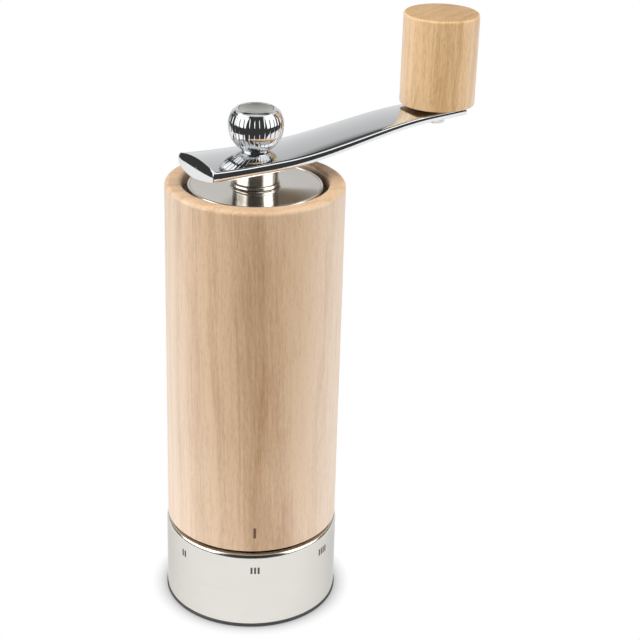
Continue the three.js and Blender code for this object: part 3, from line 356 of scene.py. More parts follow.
springSteel = makeFinish(
    "steelSpring", brushedLines,
    {"Lines": (700, 700, 2400), "Tone": (0.6, 0.6, 0.61, 1), "Shade": (0.44, 0.44, 0.45, 1),
     "Roughness": 0.26, "Spread": 0.3},
    metal, relief=0.003)
burrSteel = makeFinish(
    "steelBurr", brushedLines,
    {"Lines": (1800, 1800, 5200), "Tone": (0.5, 0.5, 0.51, 1), "Shade": (0.34, 0.34, 0.35, 1),
     "Roughness": 0.36, "Spread": 0.35},
    metal, relief=0.006)
brass = makeFinish(
    "brassTurned", brushedLines,
    {"Lines": (120, 120, 6500), "Tone": (0.78, 0.56, 0.25, 1), "Shade": (0.62, 0.42, 0.17, 1),
     "Roughness": 0.24, "Spread": 0.25},
    metal, relief=0.003)
markInk = makeFinish(
    "inkMarks", mouldedSkin,
    {"Grain": 5200.0, "Tone": (0.052, 0.05, 0.048, 1), "Shade": (0.11, 0.105, 0.1, 1), "Roughness": 0.6},
    {}, relief=0.004)
burntMark = makeFinish(
    "beechBurnt", mouldedSkin,
    {"Grain": 5200.0, "Tone": (0.12, 0.062, 0.032, 1), "Shade": (0.2, 0.11, 0.058, 1), "Roughness": 0.65},
    {}, relief=0.006)
print("materials made:", len(bpy.data.materials))


# Mesh helpers

# Corners of an outline as points; a third number rounds that corner by its radius
def rounded(corners, closed=True, steps=6):
    points = []
    count = len(corners)
    for i, corner in enumerate(corners):
        here = Vector(corner[:2])
        if len(corner) < 3 or not closed and i in (0, count - 1):
            points.append(tuple(here))
            continue
        back = (Vector(corners[i - 1][:2]) - here).normalized()
        ahead = (Vector(corners[(i + 1) % count][:2]) - here).normalized()
        half = back.angle(ahead) / 2
        centre = here + (back + ahead).normalized() * (corner[2] / math.sin(half))
        first = here + back * (corner[2] / math.tan(half)) - centre
        last = here + ahead * (corner[2] / math.tan(half)) - centre
        sweep = first.angle_signed(last)
        for k in range(steps + 1):
            spoke = Matrix.Rotation(-sweep * k / steps, 2) @ first
            points.append(tuple(centre + spoke))
    return points


# A line bent through arcs, each (first angle, last angle, radius, steps); it starts at (0, 0)
def bentLine(curves):
    line, across, rise = [(0.0, 0.0)], 0.0, 0.0
    for first, last, radius, steps in curves:
        for k in range(steps):
            before = math.radians(first + (last - first) * k / steps)
            after = math.radians(first + (last - first) * (k + 1) / steps)
            across += radius * (math.cos(after) - math.cos(before))
            rise += radius * (math.sin(after) - math.sin(before))
            line.append((across, rise))
    return line


# Points and faces between rings of points. The row of rings can close on itself, its two ends can be
# capped, and the rings can be open lines.
def skin(rings, closed=False, capped=False, openRings=False):
    count = len(rings[0])
    points = [point for ring in rings for point in ring]
    faces = []
    for i in range(len(rings) if closed else len(rings) - 1):
        here, beyond = i * count, (i + 1) % len(rings) * count
        for k in range(count - 1 if openRings else count):
            beside = (k + 1) % count
            faces.append((here + k, here + beside, beyond + beside, beyond + k))
    if capped:
        faces.append(tuple(range(count)))
        faces.append(tuple(range(len(points) - count, len(points))))
    return points, faces


def onAngle(outline, angle):
    return [(r * math.cos(angle), r * math.sin(angle), z) for r, z in outline]


# Solid turned about +Z from an outline of (radius, height); an open one starts and ends on the axis
def turn(outline, steps, closed=True):
    rings = [onAngle(outline, 2 * math.pi * i / steps) for i in range(steps)]
    return skin(rings, closed=True, openRings=not closed)


def circle(across, height, radius, sides):
    angles = [2 * math.pi * k / sides for k in range(sides)]
    return [(across + radius * math.cos(angle), height + radius * math.sin(angle)) for angle in angles]


def moved(shape, offset=(0, 0, 0), degrees=0.0):
    turnAbout = Matrix.Rotation(math.radians(degrees), 3, "Z")
    return [tuple(turnAbout @ (Vector(point) + Vector(offset))) for point in shape[0]], shape[1]


def together(*shapes):
    points, faces = [], []
    for shapePoints, shapeFaces in shapes:
        base = len(points)
        points += shapePoints
        faces += [tuple(base + corner for corner in face) for face in shapeFaces]
    return points, faces


def addObject(name, data):
    thing = bpy.data.objects.new(name, data)
    bpy.context.scene.collection.objects.link(thing)
    return thing


def makePiece(name, shape, body, finish, nodes=(), sharpDegrees=32):
    mesh = bpy.data.meshes.new(name)
    mesh.from_pydata([tuple(value * mm for value in point) for point in shape[0]], [], shape[1])
    form = bmesh.new()
    form.from_mesh(mesh)
    bmesh.ops.remove_doubles(form, verts=form.verts, dist=weldDistance)
    bmesh.ops.recalc_face_normals(form, faces=form.faces)
    form.to_mesh(mesh)
    form.free()
    mesh.shade_smooth()
    mesh.set_sharp_from_angle(angle=math.radians(sharpDegrees))
    mesh.materials.append(finish)
    piece = addObject(name, mesh)
    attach(piece, body)
    if nodes:
        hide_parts(*nodes)


# Beech body

bodySizes = {"radius": 27.3, "foot": 28.08, "top": 142.0, "rimRound": 1.5, "mouthRound": 1.0,
             "footRound": 0.5, "lidBore": 22.3, "lidLedge": 137.5, "chamber": 19.5, "shelf": 46.0,
             "housingBore": 21.5, "innerRound": 0.4, "steps": 192}


def makeBody(size):
    outline = rounded([
        (size["radius"], size["foot"], size["footRound"]), (size["radius"], size["top"], size["rimRound"]),
        (size["lidBore"], size["top"], size["mouthRound"]), (size["lidBore"], size["lidLedge"]),
        (size["chamber"], size["lidLedge"], size["innerRound"]), (size["chamber"], size["shelf"]),
        (size["housingBore"], size["shelf"]), (size["housingBore"], size["foot"], size["innerRound"])])
    makePiece("beechBody", turn(outline, size["steps"]), "mill", beech, ["beech_body"])


makeBody(bodySizes)

# Steel ring with its rolled edge, and the dark foot

ringSizes = {"radius": 27.65, "foot": 1.3, "top": 27.0, "wall": 0.95, "innerRound": 0.6, "steps": 192,
             "roll": [(0, 33, 2.4, 8), (33, 70, 0.35, 8), (70, 89, 3.6, 5)]}
footSizes = {"radius": 27.9, "foot": 0.001, "height": 1.2, "mouth": 21.0, "ribOuter": 25.3,
             "ribInner": 24.12, "ribTop": 6.2, "round": 0.4, "mouthRound": 0.2, "ribRound": 0.3,
             "steps": 192}


def makeRing(size):
    inner = size["radius"] - size["wall"]
    roll = bentLine(size["roll"])
    lip, high = roll[-1]
    outline = [(size["radius"] + across, size["top"] - high + rise) for across, rise in roll]
    outline += rounded([
        (size["radius"] + lip, size["top"]), (size["radius"] + lip, size["top"] - size["wall"]),
        (inner, size["top"] - size["wall"], size["innerRound"]), (inner, size["foot"]),
        (size["radius"], size["foot"])], closed=False)[1:]
    makePiece("steelRing", turn(outline, size["steps"]), "adjuster", satinSteel,
              ["adjusting_ring"], sharpDegrees=50)


def makeFoot(size):
    outline = rounded([
        (size["mouth"], size["foot"], size["mouthRound"]), (size["radius"], size["foot"], size["round"]),
        (size["radius"], size["height"], size["round"]), (size["ribOuter"], size["height"]),
        (size["ribOuter"], size["ribTop"], size["ribRound"]),
        (size["ribInner"], size["ribTop"], size["ribRound"]),
        (size["ribInner"], size["height"]), (size["mouth"], size["height"])])
    makePiece("footRing", turn(outline, size["steps"]), "adjuster", footRubber, ["foot_ring"])


makeRing(ringSizes)
makeFoot(footSizes)

# Grind-setting marks on the ring and the index mark on the wood

markSizes = {"proud": 0.02, "sunk": 0.05, "barWidth": 0.66, "barPitch": 1.13, "low": 20.05, "high": 22.45,
             "settingStep": 53.5, "restSetting": 3, "restAngle": -87.2, "settings": 6,
             "slices": (-1, -0.72, -0.3, 0.3, 0.72, 1), "corner": 0.16,
             "indexWidth": 0.85, "indexLow": 33.0, "indexHigh": 36.7, "indexAngle": -87.7}


# A bar bent round the surface it is on, with its corners cut by a share of its width
def bentBar(radius, degrees, width, low, high, size):
    half = math.degrees(width / 2 / radius)
    inner, outer = radius - size["sunk"], radius + size["proud"]
    rings = []
    for share in size["slices"]:
        cut = size["corner"] * width if abs(share) == 1 else 0.0
        section = [(inner, low + cut), (outer, low + cut), (outer, high - cut), (inner, high - cut)]
        rings.append(onAngle(section, math.radians(degrees + half * share)))
    return skin(rings, capped=True)


def makeMarks(size):
    bars = []
    radius = ringSizes["radius"]
    for setting in range(1, size["settings"] + 1):
        centre = size["restAngle"] + (setting - size["restSetting"]) * size["settingStep"]
        for k in range(setting):
            away = (k - (setting - 1) / 2) * size["barPitch"]
            degrees = centre + math.degrees(away / radius)
            bars.append(bentBar(radius, degrees, size["barWidth"], size["low"], size["high"], size))
    makePiece("settingMarks", together(*bars), "adjuster", markInk)
    index = bentBar(bodySizes["radius"], size["indexAngle"], size["indexWidth"], size["indexLow"],
                    size["indexHigh"], size)
    makePiece("indexMark", index, "mill", burntMark)


makeMarks(markSizes)
print("body, ring, foot and marks made")

# Lid

lidSizes = {"radius": 20.54, "top": 141.0, "foot": 138.9, "bead": 0.45, "beadOuter": 0.44, "beadInner": 0.36,
            "step": 0.22, "bore": 4.8, "footRound": 0.2, "faceRound": 0.06, "collar": 0.3, "collarFoot": 0.5,
            "collarRound": 0.1, "steps": 192}
bushSizes = {"stem": 4.6, "bore": 3.48, "rim": 7.45, "rimFoot": 141.1, "rimTop": 142.1, "tail": 127.3,
             "grooveLow": 128.6, "grooveHigh": 129.8, "groove": 4.0, "tailRound": 0.3, "rimFootRound": 0.2,
             "rimRound": 0.35, "steps": 96}
insertSizes = {"flange": 21.9, "flangeFoot": 137.6, "top": 138.8, "skirt": 19.2, "skirtIn": 17.2,
               "foot": 129.9, "boss": 8.0, "bore": 4.8, "grooveLow": 133.2, "grooveHigh": 134.6,
               "groove": 18.1, "footRound": 0.4, "flangeRound": 0.3, "boreRound": 0.2, "innerRound": 0.6,
               "steps": 128}
sealSizes = {"middle": 18.8, "height": 133.9, "radius": 0.6, "sides": 20, "steps": 128}


def makeDisc(size, rim):
    face = size["top"] - size["step"]
    beadIn = size["radius"] - 2 * size["bead"]
    outline = rounded([
        (size["bore"], size["foot"]), (size["radius"], size["foot"], size["footRound"]),
        (size["radius"], size["top"], size["beadOuter"]), (beadIn, size["top"], size["beadInner"]),
        (beadIn, face, size["faceRound"]), (rim + size["collarFoot"], face, size["collarRound"]),
        (rim + size["collar"], size["top"], size["collarRound"]), (size["bore"], size["top"])])
    makePiece("lidDisc", turn(outline, size["steps"]), "lid", polishedSteel,
              ["lid_disc"])


def makeBush(size):
    outline = rounded([
        (size["stem"], size["tail"], size["tailRound"]), (size["stem"], size["grooveLow"]),
        (size["groove"], size["grooveLow"]), (size["groove"], size["grooveHigh"]),
        (size["stem"], size["grooveHigh"]), (size["stem"], size["rimFoot"]),
        (size["rim"], size["rimFoot"], size["rimFootRound"]),
        (size["rim"], size["rimTop"], size["rimRound"]),
        (size["bore"], size["rimTop"]), (size["bore"], size["tail"])])
    makePiece("lidBush", turn(outline, size["steps"]), "lid", turnedSteel, ["lid_bush"])


def makeInsert(size):
    outline = rounded([
        (size["skirt"], size["foot"], size["footRound"]), (size["skirt"], size["grooveLow"]),
        (size["groove"], size["grooveLow"]), (size["groove"], size["grooveHigh"]),
        (size["skirt"], size["grooveHigh"]), (size["skirt"], size["flangeFoot"]),
        (size["flange"], size["flangeFoot"], size["flangeRound"]),
        (size["flange"], size["top"], size["flangeRound"]),
        (size["bore"], size["top"]), (size["bore"], size["foot"], size["boreRound"]),
        (size["boss"], size["foot"], size["footRound"]),
        (size["boss"], size["flangeFoot"], size["innerRound"]),
        (size["skirtIn"], size["flangeFoot"], size["innerRound"]),
        (size["skirtIn"], size["foot"], size["footRound"])])
    makePiece("lidInsert", turn(outline, size["steps"]), "lid", darkPlastic, ["lid_insert"])


def makeSeal(size):
    section = circle(size["middle"], size["height"], size["radius"], size["sides"])
    makePiece("lidSeal", turn(section, size["steps"]), "lid", siliconeSoft, ["lid_seal"])


makeDisc(lidSizes, bushSizes["rim"])
makeBush(bushSizes)
makeInsert(insertSizes)
makeSeal(sealSizes)
print("lid made")

# Crank arm

armSizes = {
    "angle": 30.8, "reach": 66.5, "tail": 21.2, "tip": 73.6, "hubWidth": 19.4, "tipWidth": 13.7,
    "sideHub": 2.95, "sideTip": 2.0, "rise": 5.3, "riseStart": 5.0, "riseEnd": 60.0, "tailLift": 0.75,
    "edge": 150.25, "crownHub": 1.5, "crownTip": 0.4, "bellyHub": 2.1, "bellyTip": 1.2,
    "flank": [(74, 45, (0.3, 0.65, 0.1), 6), (45, 10, (0.15, 0.15, 0.16), 8),
              (10, -2.5, (2.7, 1.9, 0.9), 5), (-2.5, -9, (1.4, 2.4, 3.2), 4), (-9, -17, (0.1, 0.2, 0.2), 4)],
    "endBulge": 0.19, "endTuck": 0.04, "endFrom": 0.3, "endRun": 0.2, "nose": 0.8, "noseNear": 0.55,
    "noseFar": 0.6, "bowReach": 9.0, "bowNear": 0.1, "bowFar": 0.15, "rollNear": 0.03, "rollFar": 0.5,
    "slant": 0.7, "stations": 120, "crownSteps": 24, "endSteps": 14,
    "boss": 6.95, "bossFoot": 142.2, "bossTop": 148.7, "bossFillet": 0.15, "bossBore": 3.6, "bossSteps": 96}


def armSize(size, hub, tip, distance):
    return size[hub] + (size[tip] - size[hub]) * max(distance, 0) / size["tip"]


def armEdge(size, distance):
    share = min(max((distance - size["riseStart"]) / (size["riseEnd"] - size["riseStart"]), 0), 1)
    tail = min(distance, 0) / size["tail"]
    return size["edge"] + size["rise"] * share * share * (3 - 2 * share) + size["tailLift"] * tail * tail


# The side in five curves, from the tight upper edge down to the tight lower one. Each is (first angle,
# last angle, radii at hub, middle and tip, steps), with the radii in shares of the side's height.
def flankLine(size, half, edge, side, distance):
    share = 2 * max(distance, 0) / size["tip"]
    curves = []
    for first, last, radii, steps in size["flank"]:
        near, far = (radii[0], radii[1]) if share < 1 else (radii[1], radii[2])
        curves.append((first, last, near + (far - near) * (share if share < 1 else share - 1), steps))
    line = bentLine(curves)
    tall = -line[-1][1]
    widest = max(point[0] for point in line)
    return [(half - (widest - out) * side / tall, edge + rise * side / tall) for out, rise in line]


# The arm across its length: crowned top, the two sides, fuller underside. Both ends are bowed, and the
# tail is cut at a slant. In an end face the share draws the outline in to its foremost line, and the face
# leans back from there, more above than below; inward is 1 at the tail and -1 at the tip.
def armSection(size, distance, share=1.0, inward=0):
    side = armSize(size, "sideHub", "sideTip", distance)
    crown = armSize(size, "crownHub", "crownTip", distance)
    belly = armSize(size, "bellyHub", "bellyTip", distance)
    half = (size["hubWidth"] + (size["tipWidth"] - size["hubWidth"]) * distance / size["tip"]) / 2
    edge = armEdge(size, distance)
    flank = flankLine(size, half, edge, side, distance)
    top, bottom = flank[0], flank[-1]
    crownLine, bellyLine = [], []
    for k in range(1, size["crownSteps"]):
        across = 1 - 2 * k / size["crownSteps"]
        crownLine.append((across * top[0], top[1] + crown * (1 - across ** 2)))
        bellyLine.append((-across * bottom[0], bottom[1] - belly * (1 - across ** 2)))
    outline = [*crownLine, *[(-y, z) for y, z in flank], *bellyLine, *reversed(flank)]
    fromTail = max(0, 1 - (distance + size["tail"]) / size["bowReach"])
    fromTip = max(0, 1 - (size["tip"] - distance) / size["bowReach"])
    points = []
    for y, z in outline:
        which = "Near" if y < 0 else "Far"
        out = (y / half) ** 2
        bowed = (fromTail - fromTip) * (size["bow" + which] * out + size["roll" + which] * out ** 4)
        nose = edge - side * (size["nose"] + (size["nose" + which] - size["nose"]) * out)
        lean = inward * side * share ** 2 * size["endBulge" if z > nose else "endTuck"]
        slant = fromTail * size["slant"] * (1 - y / half) / 2
        points.append((distance + bowed + slant + lean, y, nose + (z - nose) * share))
    return points


def armEnd(size, end, inward):
    rings = []
    for k in range(size["endSteps"]):
        angle = size["endFrom"] + (90 - size["endFrom"]) * k / (size["endSteps"] - 1)
        rings.append(armSection(size, end, math.sin(math.radians(angle)), inward))
    return rings


def makeArm(size):
    rings = armEnd(size, -size["tail"], 1)
    start = -size["tail"] + size["sideHub"] * size["endBulge"] + size["endRun"]
    stop = size["tip"] - size["sideTip"] * size["endBulge"] - size["endRun"]
    for k in range(size["stations"] + 1):
        rings.append(armSection(size, start + (stop - start) * k / size["stations"]))
    rings += reversed(armEnd(size, size["tip"], -1))
    blade = moved(skin(rings, capped=True), degrees=size["angle"])
    makePiece("crankArm", blade, "crank", chromeArm, ["crank_arm"], sharpDegrees=40)
    boss = turn(rounded([
        (size["bossBore"], size["bossFoot"]), (size["boss"], size["bossFoot"], size["bossFillet"]),
        (size["boss"], size["bossTop"]), (size["bossBore"], size["bossTop"])]), size["bossSteps"])
    makePiece("armBoss", boss, "crank", turnedSteel)


makeArm(armSizes)

# Ball knob

knobSizes = {
    "radius": 8.4, "centre": 159.25, "neck": 4.3, "lip": 0.9, "foot": 151.6, "flutes": 32, "groove": 0.09,
    "grooveFrom": 0.72, "groovePower": 1.3, "land": 0.02, "fluteTop": 4.0, "fluteFade": 0.3,
    "fluteFoot": -7.544, "footFade": 0.8, "ballTop": 4.3, "ledge": 0.22, "ledgeTall": 0.12, "slopeOut": 0.55,
    "slopeDown": 0.3, "slopeRound": 0.5, "rim": 5.75, "rimIn": 0.1, "rimTop": 164.65, "rimRound": 0.15,
    "recess": 5.25, "recessSlope": 0.05, "recessFloor": 163.6, "bore": 3.3, "boreFoot": 0.1,
    "boreTop": 160.1, "steps": 640, "ballSteps": 40, "shoulderSteps": 5, "boreSteps": 96}
capSizes = {"radius": 5.18, "foot": 163.7, "top": 164.6, "edge": 0.08, "dish": 0.75, "land": 0.3,
            "steps": 96, "dishSteps": 14}


# How deep the flutes cut at a place round the ball; the lands between them are a little crowned
def fluteDepth(size, angle):
    share = angle * size["flutes"] / (2 * math.pi) % 1
    across = abs(2 * share - 1)
    beyond = max(0, (across - size["grooveFrom"]) / (1 - size["grooveFrom"]))
    return size["land"] * across ** 2 + size["groove"] * beyond ** size["groovePower"]


def makeKnob(size):
    radius = size["radius"]
    neckAngle = -math.acos(size["neck"] / radius)
    topAngle = math.asin(size["ballTop"] / radius)
    ball = []
    for k in range(size["ballSteps"] + 1):
        angle = neckAngle + (topAngle - neckAngle) * k / size["ballSteps"]
        ball.append((radius * math.cos(angle), radius * math.sin(angle)))
    brink, ledge = ball[-1][0], size["centre"] + ball[-1][1]
    shoulder = rounded([
        (brink, ledge), (brink - size["ledge"], ledge), (brink - size["ledge"], ledge + size["ledgeTall"]),
        (size["rim"] + size["slopeOut"], size["rimTop"] - size["slopeDown"], size["slopeRound"]),
        (size["rim"] - size["rimIn"], size["rimTop"], size["rimRound"]),
        (size["recess"] + size["recessSlope"], size["rimTop"], size["rimRound"]),
        (size["recess"], size["recessFloor"])], closed=False, steps=size["shoulderSteps"])[1:]
    lip = size["neck"] - size["lip"]
    rings = []
    for i in range(size["steps"]):
        angle = 2 * math.pi * i / size["steps"]
        dip = fluteDepth(size, angle)
        ring = [(lip, size["foot"]), (size["neck"], size["foot"])]
        for out, rise in ball:
            fade = min(1, max(0, (size["fluteTop"] - rise) / size["fluteFade"]))
            fade *= min(1, max(0, (rise - size["fluteFoot"]) / size["footFade"]))
            ring.append((out - dip * fade * out / radius, size["centre"] + rise))
        rings.append(onAngle([*ring, *shoulder, (0, size["recessFloor"])], angle))
    knob = moved(skin(rings, closed=True, openRings=True), degrees=armSizes["angle"])
    makePiece("ballKnob", knob, "knob", chrome, ["ball_knob"], sharpDegrees=50)
    bore = turn([(lip, size["foot"]), (size["bore"], size["foot"] + size["boreFoot"]),
                 (size["bore"], size["boreTop"]), (0, size["boreTop"])], size["boreSteps"], closed=False)
    makePiece("knobBore", moved(bore, degrees=armSizes["angle"]), "knob", chrome)


def makeCap(size):
    radius, top = size["radius"], size["top"]
    outline = [(0, size["foot"]), (radius, size["foot"]), (radius, top - size["edge"]),
               (radius - size["edge"], top)]
    for k in range(size["dishSteps"] + 1):
        share = 1 - k / size["dishSteps"]
        outline.append(((radius - size["land"]) * share, top - size["dish"] * (1 - share ** 2)))
    makePiece("knobCap", turn(outline, size["steps"], closed=False), "knob", capSteel,
              ["knob_cap"])


makeKnob(knobSizes)
makeCap(capSizes)

# Grip and its spindle

gripSizes = {"radius": 11.9, "foot": 157.04, "top": 185.73, "round": 0.9, "footRound": 0.3, "roundSteps": 8,
             "bore": 4.3, "boreTop": 181.04, "steps": 128}
spindleSizes = {"head": 3.0, "headFoot": 150.5, "headTop": 152.06, "headIn": 0.3, "headRound": 0.5,
                "headSide": 0.4, "sideRound": 0.3, "shank": 2.5, "snap": 3.0, "snapFoot": 176.04,
                "snapTall": 1.0, "top": 178.04, "steps": 64}


def onTip(outline, steps):
    return moved(turn(outline, steps, closed=False), (armSizes["reach"], 0, 0), armSizes["angle"])


def makeGrip(size):
    outline = [(0, size["boreTop"]), (size["bore"], size["boreTop"]), *rounded([
        (size["bore"], size["foot"]), (size["radius"], size["foot"], size["footRound"]),
        (size["radius"], size["top"], size["round"]), (0, size["top"])],
        closed=False, steps=size["roundSteps"])]
    makePiece("crankGrip", onTip(outline, size["steps"]), "grip", gripBeech, ["crank_grip"])


def makeSpindle(size):
    outline = rounded([
        (0, size["headFoot"]), (size["head"] - size["headIn"], size["headFoot"], size["headRound"]),
        (size["head"], size["headTop"] - size["headSide"], size["sideRound"]),
        (size["head"], size["headTop"]), (size["shank"], size["headTop"]),
        (size["shank"], size["snapFoot"]), (size["snap"], size["snapFoot"]),
        (size["snap"], size["snapFoot"] + size["snapTall"]), (size["shank"], size["top"]),
        (0, size["top"])], closed=False)
    makePiece("gripSpindle", onTip(outline, size["steps"]), "crank", polishedSteel,
              ["grip_spindle"])


makeGrip(gripSizes)
makeSpindle(spindleSizes)
print("arm, knob and grip made")

# Rotor spring

springSizes = {"radius": 4.6, "wire": 0.9, "low": 24.05, "high": 36.75, "turns": 5, "endGap": 0.5,
               "turnSteps": 48, "sides": 14}


def makeSpring(size):
    wire = size["wire"] / 2
    lift = size["wire"] + size["endGap"]
    rings = []
    for i in range(size["turns"] * size["turnSteps"] + 1):
        turns = i / size["turnSteps"]
        share = min(max((turns - 1) / (size["turns"] - 2), 0), 1)
        ends = min(turns, 1) + max(turns - size["turns"] + 1, 0)
        height = size["low"] + (size["high"] - size["low"] - 2 * lift) * share + lift * ends
        section = circle(size["radius"], height, wire, size["sides"])
        rings.append(onAngle(section, 2 * math.pi * turns + math.radians(armSizes["angle"])))
    makePiece("rotorSpring", skin(rings, capped=True), "drive", springSteel,
              ["rotor_spring"], sharpDegrees=60)


makeSpring(springSizes)

# Finishes of the nodes that keep their own shape

keptFinishes = [
    (darkPlastic, ["mechanism_housing", "ring_core", "stator_carrier", "grip_bush"]),
    (brass, ["shaft_bearing", "thrust_washer", "knob_nut"]),
    (springSteel, ["retaining_clip", "click_spring", "lid_clip", "shaft_clip", "spindle_washer",
                   "rotor_nut", "cam_pin", "housing_screw_1", "housing_screw_2", "housing_screw_3"]),
    (burrSteel, ["stator_burr", "rotor_burr"]), (satinSteel, ["drive_shaft"])]


def finishKept(finishes):
    for finish, nodes in finishes:
        for node in nodes:
            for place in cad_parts[node].material_slots:
                place.material = finish


finishKept(keptFinishes)
print("kept nodes finished:", sum(len(nodes) for _, nodes in keptFinishes))

# Floor, lights and camera

# White stands in for the paper where the camera or a mirror sees it
stageSizes = {"outline": [(-0.16, -0.13), (0.1, -0.13), (0.3, -0.21), (0.5, -0.1), (0.7, 0.35), (0.9, 1.8),
                          (-0.9, 1.8), (-0.53, 0.25), (-0.26, 0.0)],
              "roughness": 0.9, "tone": 0.88, "inMirrors": 0.58, "paintedShadowTone": 0.15, "nearFrom": 0.0279,
              "nearTo": 0.037, "nearWhite": 0.45, "whiteTo": 0.033}
lightPlan = {  # azimuth is measured from the camera's side, positive to the right
    "softboxLeft": {"azimuth": -70, "elevation": 24, "away": 0.9, "size": (0.96, 0.8),
                    "radiance": 3.85, "inChrome": 1.35},
    "softboxRight": {"azimuth": 69, "elevation": 24, "away": 0.9, "size": (0.82, 0.8),
                     "radiance": 3.2, "inChrome": 1.35},
    "softboxTop": {"azimuth": 180, "elevation": 86, "away": 1.0, "size": (1.1, 0.8),
                   "radiance": 2.0, "inChrome": 0}}
chromePieces = ["crankArm", "ballKnob", "knobBore"]
lightAim = Vector((0.0, 0.0, 0.15))
roomPlan = {"dim": 0.045, "backFrom": 132, "backTo": 158, "backLow": -6, "backHigh": 134, "backBright": 0.84,
            "backCut": (44, 56), "frontFrom": 40, "frontTo": 58, "frontBright": 0.72, "frontSpan": (78, 100),
            "flankFrom": (92, 104), "flankLow": (14, 26), "flankHigh": (47, 56), "flankBright": 0.72,
            "zenithFrom": 64, "zenithTo": 78, "zenithBright": 0.95}


# White paper, with a painted contact shadow round the foot that only the camera sees: there the paper's
# colour darkens and less white is mixed in; from below it is clear
def makeStage(size):
    mesh = bpy.data.meshes.new("floor")
    corners = [(x, y, 0) for x, y in size["outline"]]
    mesh.from_pydata(corners, [], [tuple(range(len(corners)))])
    floor = addObject("floor", mesh)
    material = bpy.data.materials.new("floorPaper")
    material.use_nodes = True
    tree = material.node_tree
    shader = tree.nodes["Principled BSDF"]
    shader.inputs["Roughness"].default_value = size["roughness"]
    shader.inputs["Specular IOR Level"].default_value = 0.0
    path = tree.nodes.new("ShaderNodeLightPath").outputs
    away = calculateVector(tree, "LENGTH", coordinate(tree, "Object"))
    # Painted contact shadow: camera rays see the paper's colour darken towards the foot
    beyond = ramp(tree, away, size["nearFrom"], size["nearTo"], smooth=False)
    closeBy = calculate(tree, "SUBTRACT", 1.0, calculate(tree, "SQRT", beyond))
    shade = calculate(tree, "MULTIPLY", closeBy, path["Is Camera Ray"])
    tree.links.new(ramp(tree, shade, 0.0, 1.0, size["tone"], size["paintedShadowTone"], smooth=False),
                   shader.inputs["Base Color"])
    seen = calculate(tree, "MAXIMUM", path["Is Camera Ray"], path["Is Transmission Ray"])
    whiteness = ramp(tree, away, size["nearFrom"], size["whiteTo"], size["nearWhite"], smooth=False)
    share = calculate(tree, "MULTIPLY_ADD", path["Is Glossy Ray"], size["inMirrors"],
                      calculate(tree, "MULTIPLY", seen, whiteness))
    white = addNode(tree, "ShaderNodeEmission", {"Color": (1, 1, 1, 1), "Strength": 1.0}).outputs[0]
    paper = addNode(tree, "ShaderNodeMixShader", {0: share, 1: shader.outputs[0], 2: white}).outputs[0]
    behind = tree.nodes.new("ShaderNodeNewGeometry").outputs["Backfacing"]
    under = calculate(tree, "MULTIPLY", path["Is Camera Ray"], behind)
    clear = tree.nodes.new("ShaderNodeBsdfTransparent").outputs[0]
    surface = addNode(tree, "ShaderNodeMixShader", {0: under, 1: paper, 2: clear}).outputs[0]
    tree.links.new(surface, tree.nodes["Material Output"].inputs["Surface"])
    mesh.materials.append(material)


# Each softbox lights the piece at its own level and shows dimmer in the chrome, whose ribs would glare
def makeLights(plan, aim):
    chromeOnly = bpy.data.collections.new("chromeOnly")
    chromeLeftOut = bpy.data.collections.new("chromeLeftOut")
    for group, state in ((chromeOnly, "INCLUDE"), (chromeLeftOut, "EXCLUDE")):
        for name in chromePieces:
            group.objects.link(bpy.data.objects[name])
        for link in group.collection_objects:
            link.light_linking.link_state = state
    for name, facts in plan.items():
        side, rise = math.radians(facts["azimuth"]), math.radians(facts["elevation"])
        toLamp = Vector((math.sin(side) * math.cos(rise), -math.cos(side) * math.cos(rise), math.sin(rise)))
        for group, radiance in ((chromeLeftOut, facts["radiance"]), (chromeOnly, facts["inChrome"])):
            if not radiance:
                continue
            lamp = bpy.data.lights.new(name, "AREA")
            lamp.shape = "RECTANGLE"
            lamp.size, lamp.size_y = facts["size"]
            lamp.energy = radiance * math.pi * lamp.size * lamp.size_y
            holder = addObject(name, lamp)
            holder.location = aim + toLamp * facts["away"]
            holder.rotation_euler = toLamp.to_track_quat("Z", "Y").to_euler()
            holder.visible_camera = False
            holder.visible_glossy = facts["inChrome"] > 0
            holder.light_linking.receiver_collection = group


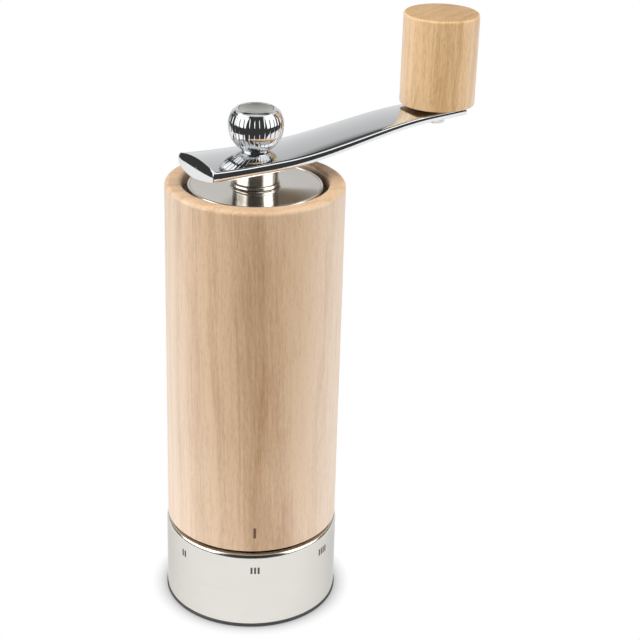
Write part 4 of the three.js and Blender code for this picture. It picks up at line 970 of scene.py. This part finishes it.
# The room is white to the camera and dim to the object. Reflections also show a pale backdrop that fades
# as it rises, a pale strip high in front, one on each side, and a soft ceiling.
def makeRoom(plan):
    world = bpy.data.worlds.new("room")
    bpy.context.scene.world = world
    world.use_nodes = True
    tree = world.node_tree
    tree.nodes.clear()
    x, y, z = split(tree, coordinate(tree, "Generated"))
    side = calculate(tree, "ARCTAN2", x, calculate(tree, "MULTIPLY", y, -1.0))
    behind = calculate(tree, "ABSOLUTE", calculate(tree, "DEGREES", side))
    rise = calculate(tree, "DEGREES", calculate(tree, "ARCSINE", z))
    across = ramp(tree, behind, plan["backFrom"], plan["backTo"])
    upward = ramp(tree, rise, plan["backLow"], plan["backHigh"], plan["backBright"], 0.0, smooth=False)
    backdrop = calculate(tree, "MULTIPLY", calculate(tree, "MULTIPLY", across, upward),
                         ramp(tree, rise, *plan["backCut"], 1.0, 0.0))
    front = calculate(tree, "MULTIPLY", ramp(tree, behind, *plan["frontSpan"], 1.0, 0.0),
                      ramp(tree, rise, plan["frontFrom"], plan["frontTo"], 0.0, plan["frontBright"]))
    zenith = ramp(tree, rise, plan["zenithFrom"], plan["zenithTo"], 0.0, plan["zenithBright"])
    beside = calculate(tree, "SUBTRACT", ramp(tree, behind, *plan["flankFrom"]), across)
    strip = calculate(tree, "MULTIPLY", ramp(tree, rise, *plan["flankLow"]),
                      ramp(tree, rise, *plan["flankHigh"], plan["flankBright"], 0.0))
    pale = calculate(tree, "MULTIPLY", beside, strip)
    for part in (backdrop, front, zenith):
        pale = calculate(tree, "MAXIMUM", pale, part)
    path = tree.nodes.new("ShaderNodeLightPath").outputs
    seen = calculate(tree, "MULTIPLY", path["Is Glossy Ray"], pale)
    for way in ("Is Camera Ray", "Is Transmission Ray"):
        seen = calculate(tree, "MAXIMUM", seen, path[way])
    dim = plan["dim"]
    tone = mixColor(tree, seen, (dim, dim, dim, 1), (1, 1, 1, 1))
    sky = addNode(tree, "ShaderNodeBackground", {"Color": tone, "Strength": 1.0})
    output = tree.nodes.new("ShaderNodeOutputWorld")
    tree.links.new(sky.outputs[0], output.inputs["Surface"])


# Degrees; the distance and the height are in millimetres
cameraPlan = {"lens": 92.39, "sensor": 36.0, "pitch": 24.663, "yaw": 2.543, "roll": 1.73,
              "away": 466.12, "height": 310.25, "clip": (0.02, 20)}


def makeCamera(plan):
    data = bpy.data.cameras.new("camera")
    data.lens, data.sensor_width = plan["lens"], plan["sensor"]
    data.clip_start, data.clip_end = plan["clip"]
    camera = addObject("camera", data)
    pitch, yaw, roll = (math.radians(plan[key]) for key in ("pitch", "yaw", "roll"))
    forward = Vector((math.sin(yaw) * math.cos(pitch), math.cos(yaw) * math.cos(pitch), -math.sin(pitch)))
    level = Vector((math.cos(yaw), -math.sin(yaw), 0))
    upright = level.cross(forward)
    right = math.cos(roll) * level + math.sin(roll) * upright
    up = math.cos(roll) * upright - math.sin(roll) * level
    turnTo = Matrix((right, up, -forward)).transposed().to_4x4()
    camera.matrix_world = Matrix.Translation((0, -plan["away"] * mm, plan["height"] * mm)) @ turnTo
    bpy.context.scene.camera = camera


makeStage(stageSizes)
makeLights(lightPlan, lightAim)
makeRoom(roomPlan)
makeCamera(cameraPlan)
bpy.context.scene.view_settings.view_transform = "Standard"
print("stage, lights and camera set")
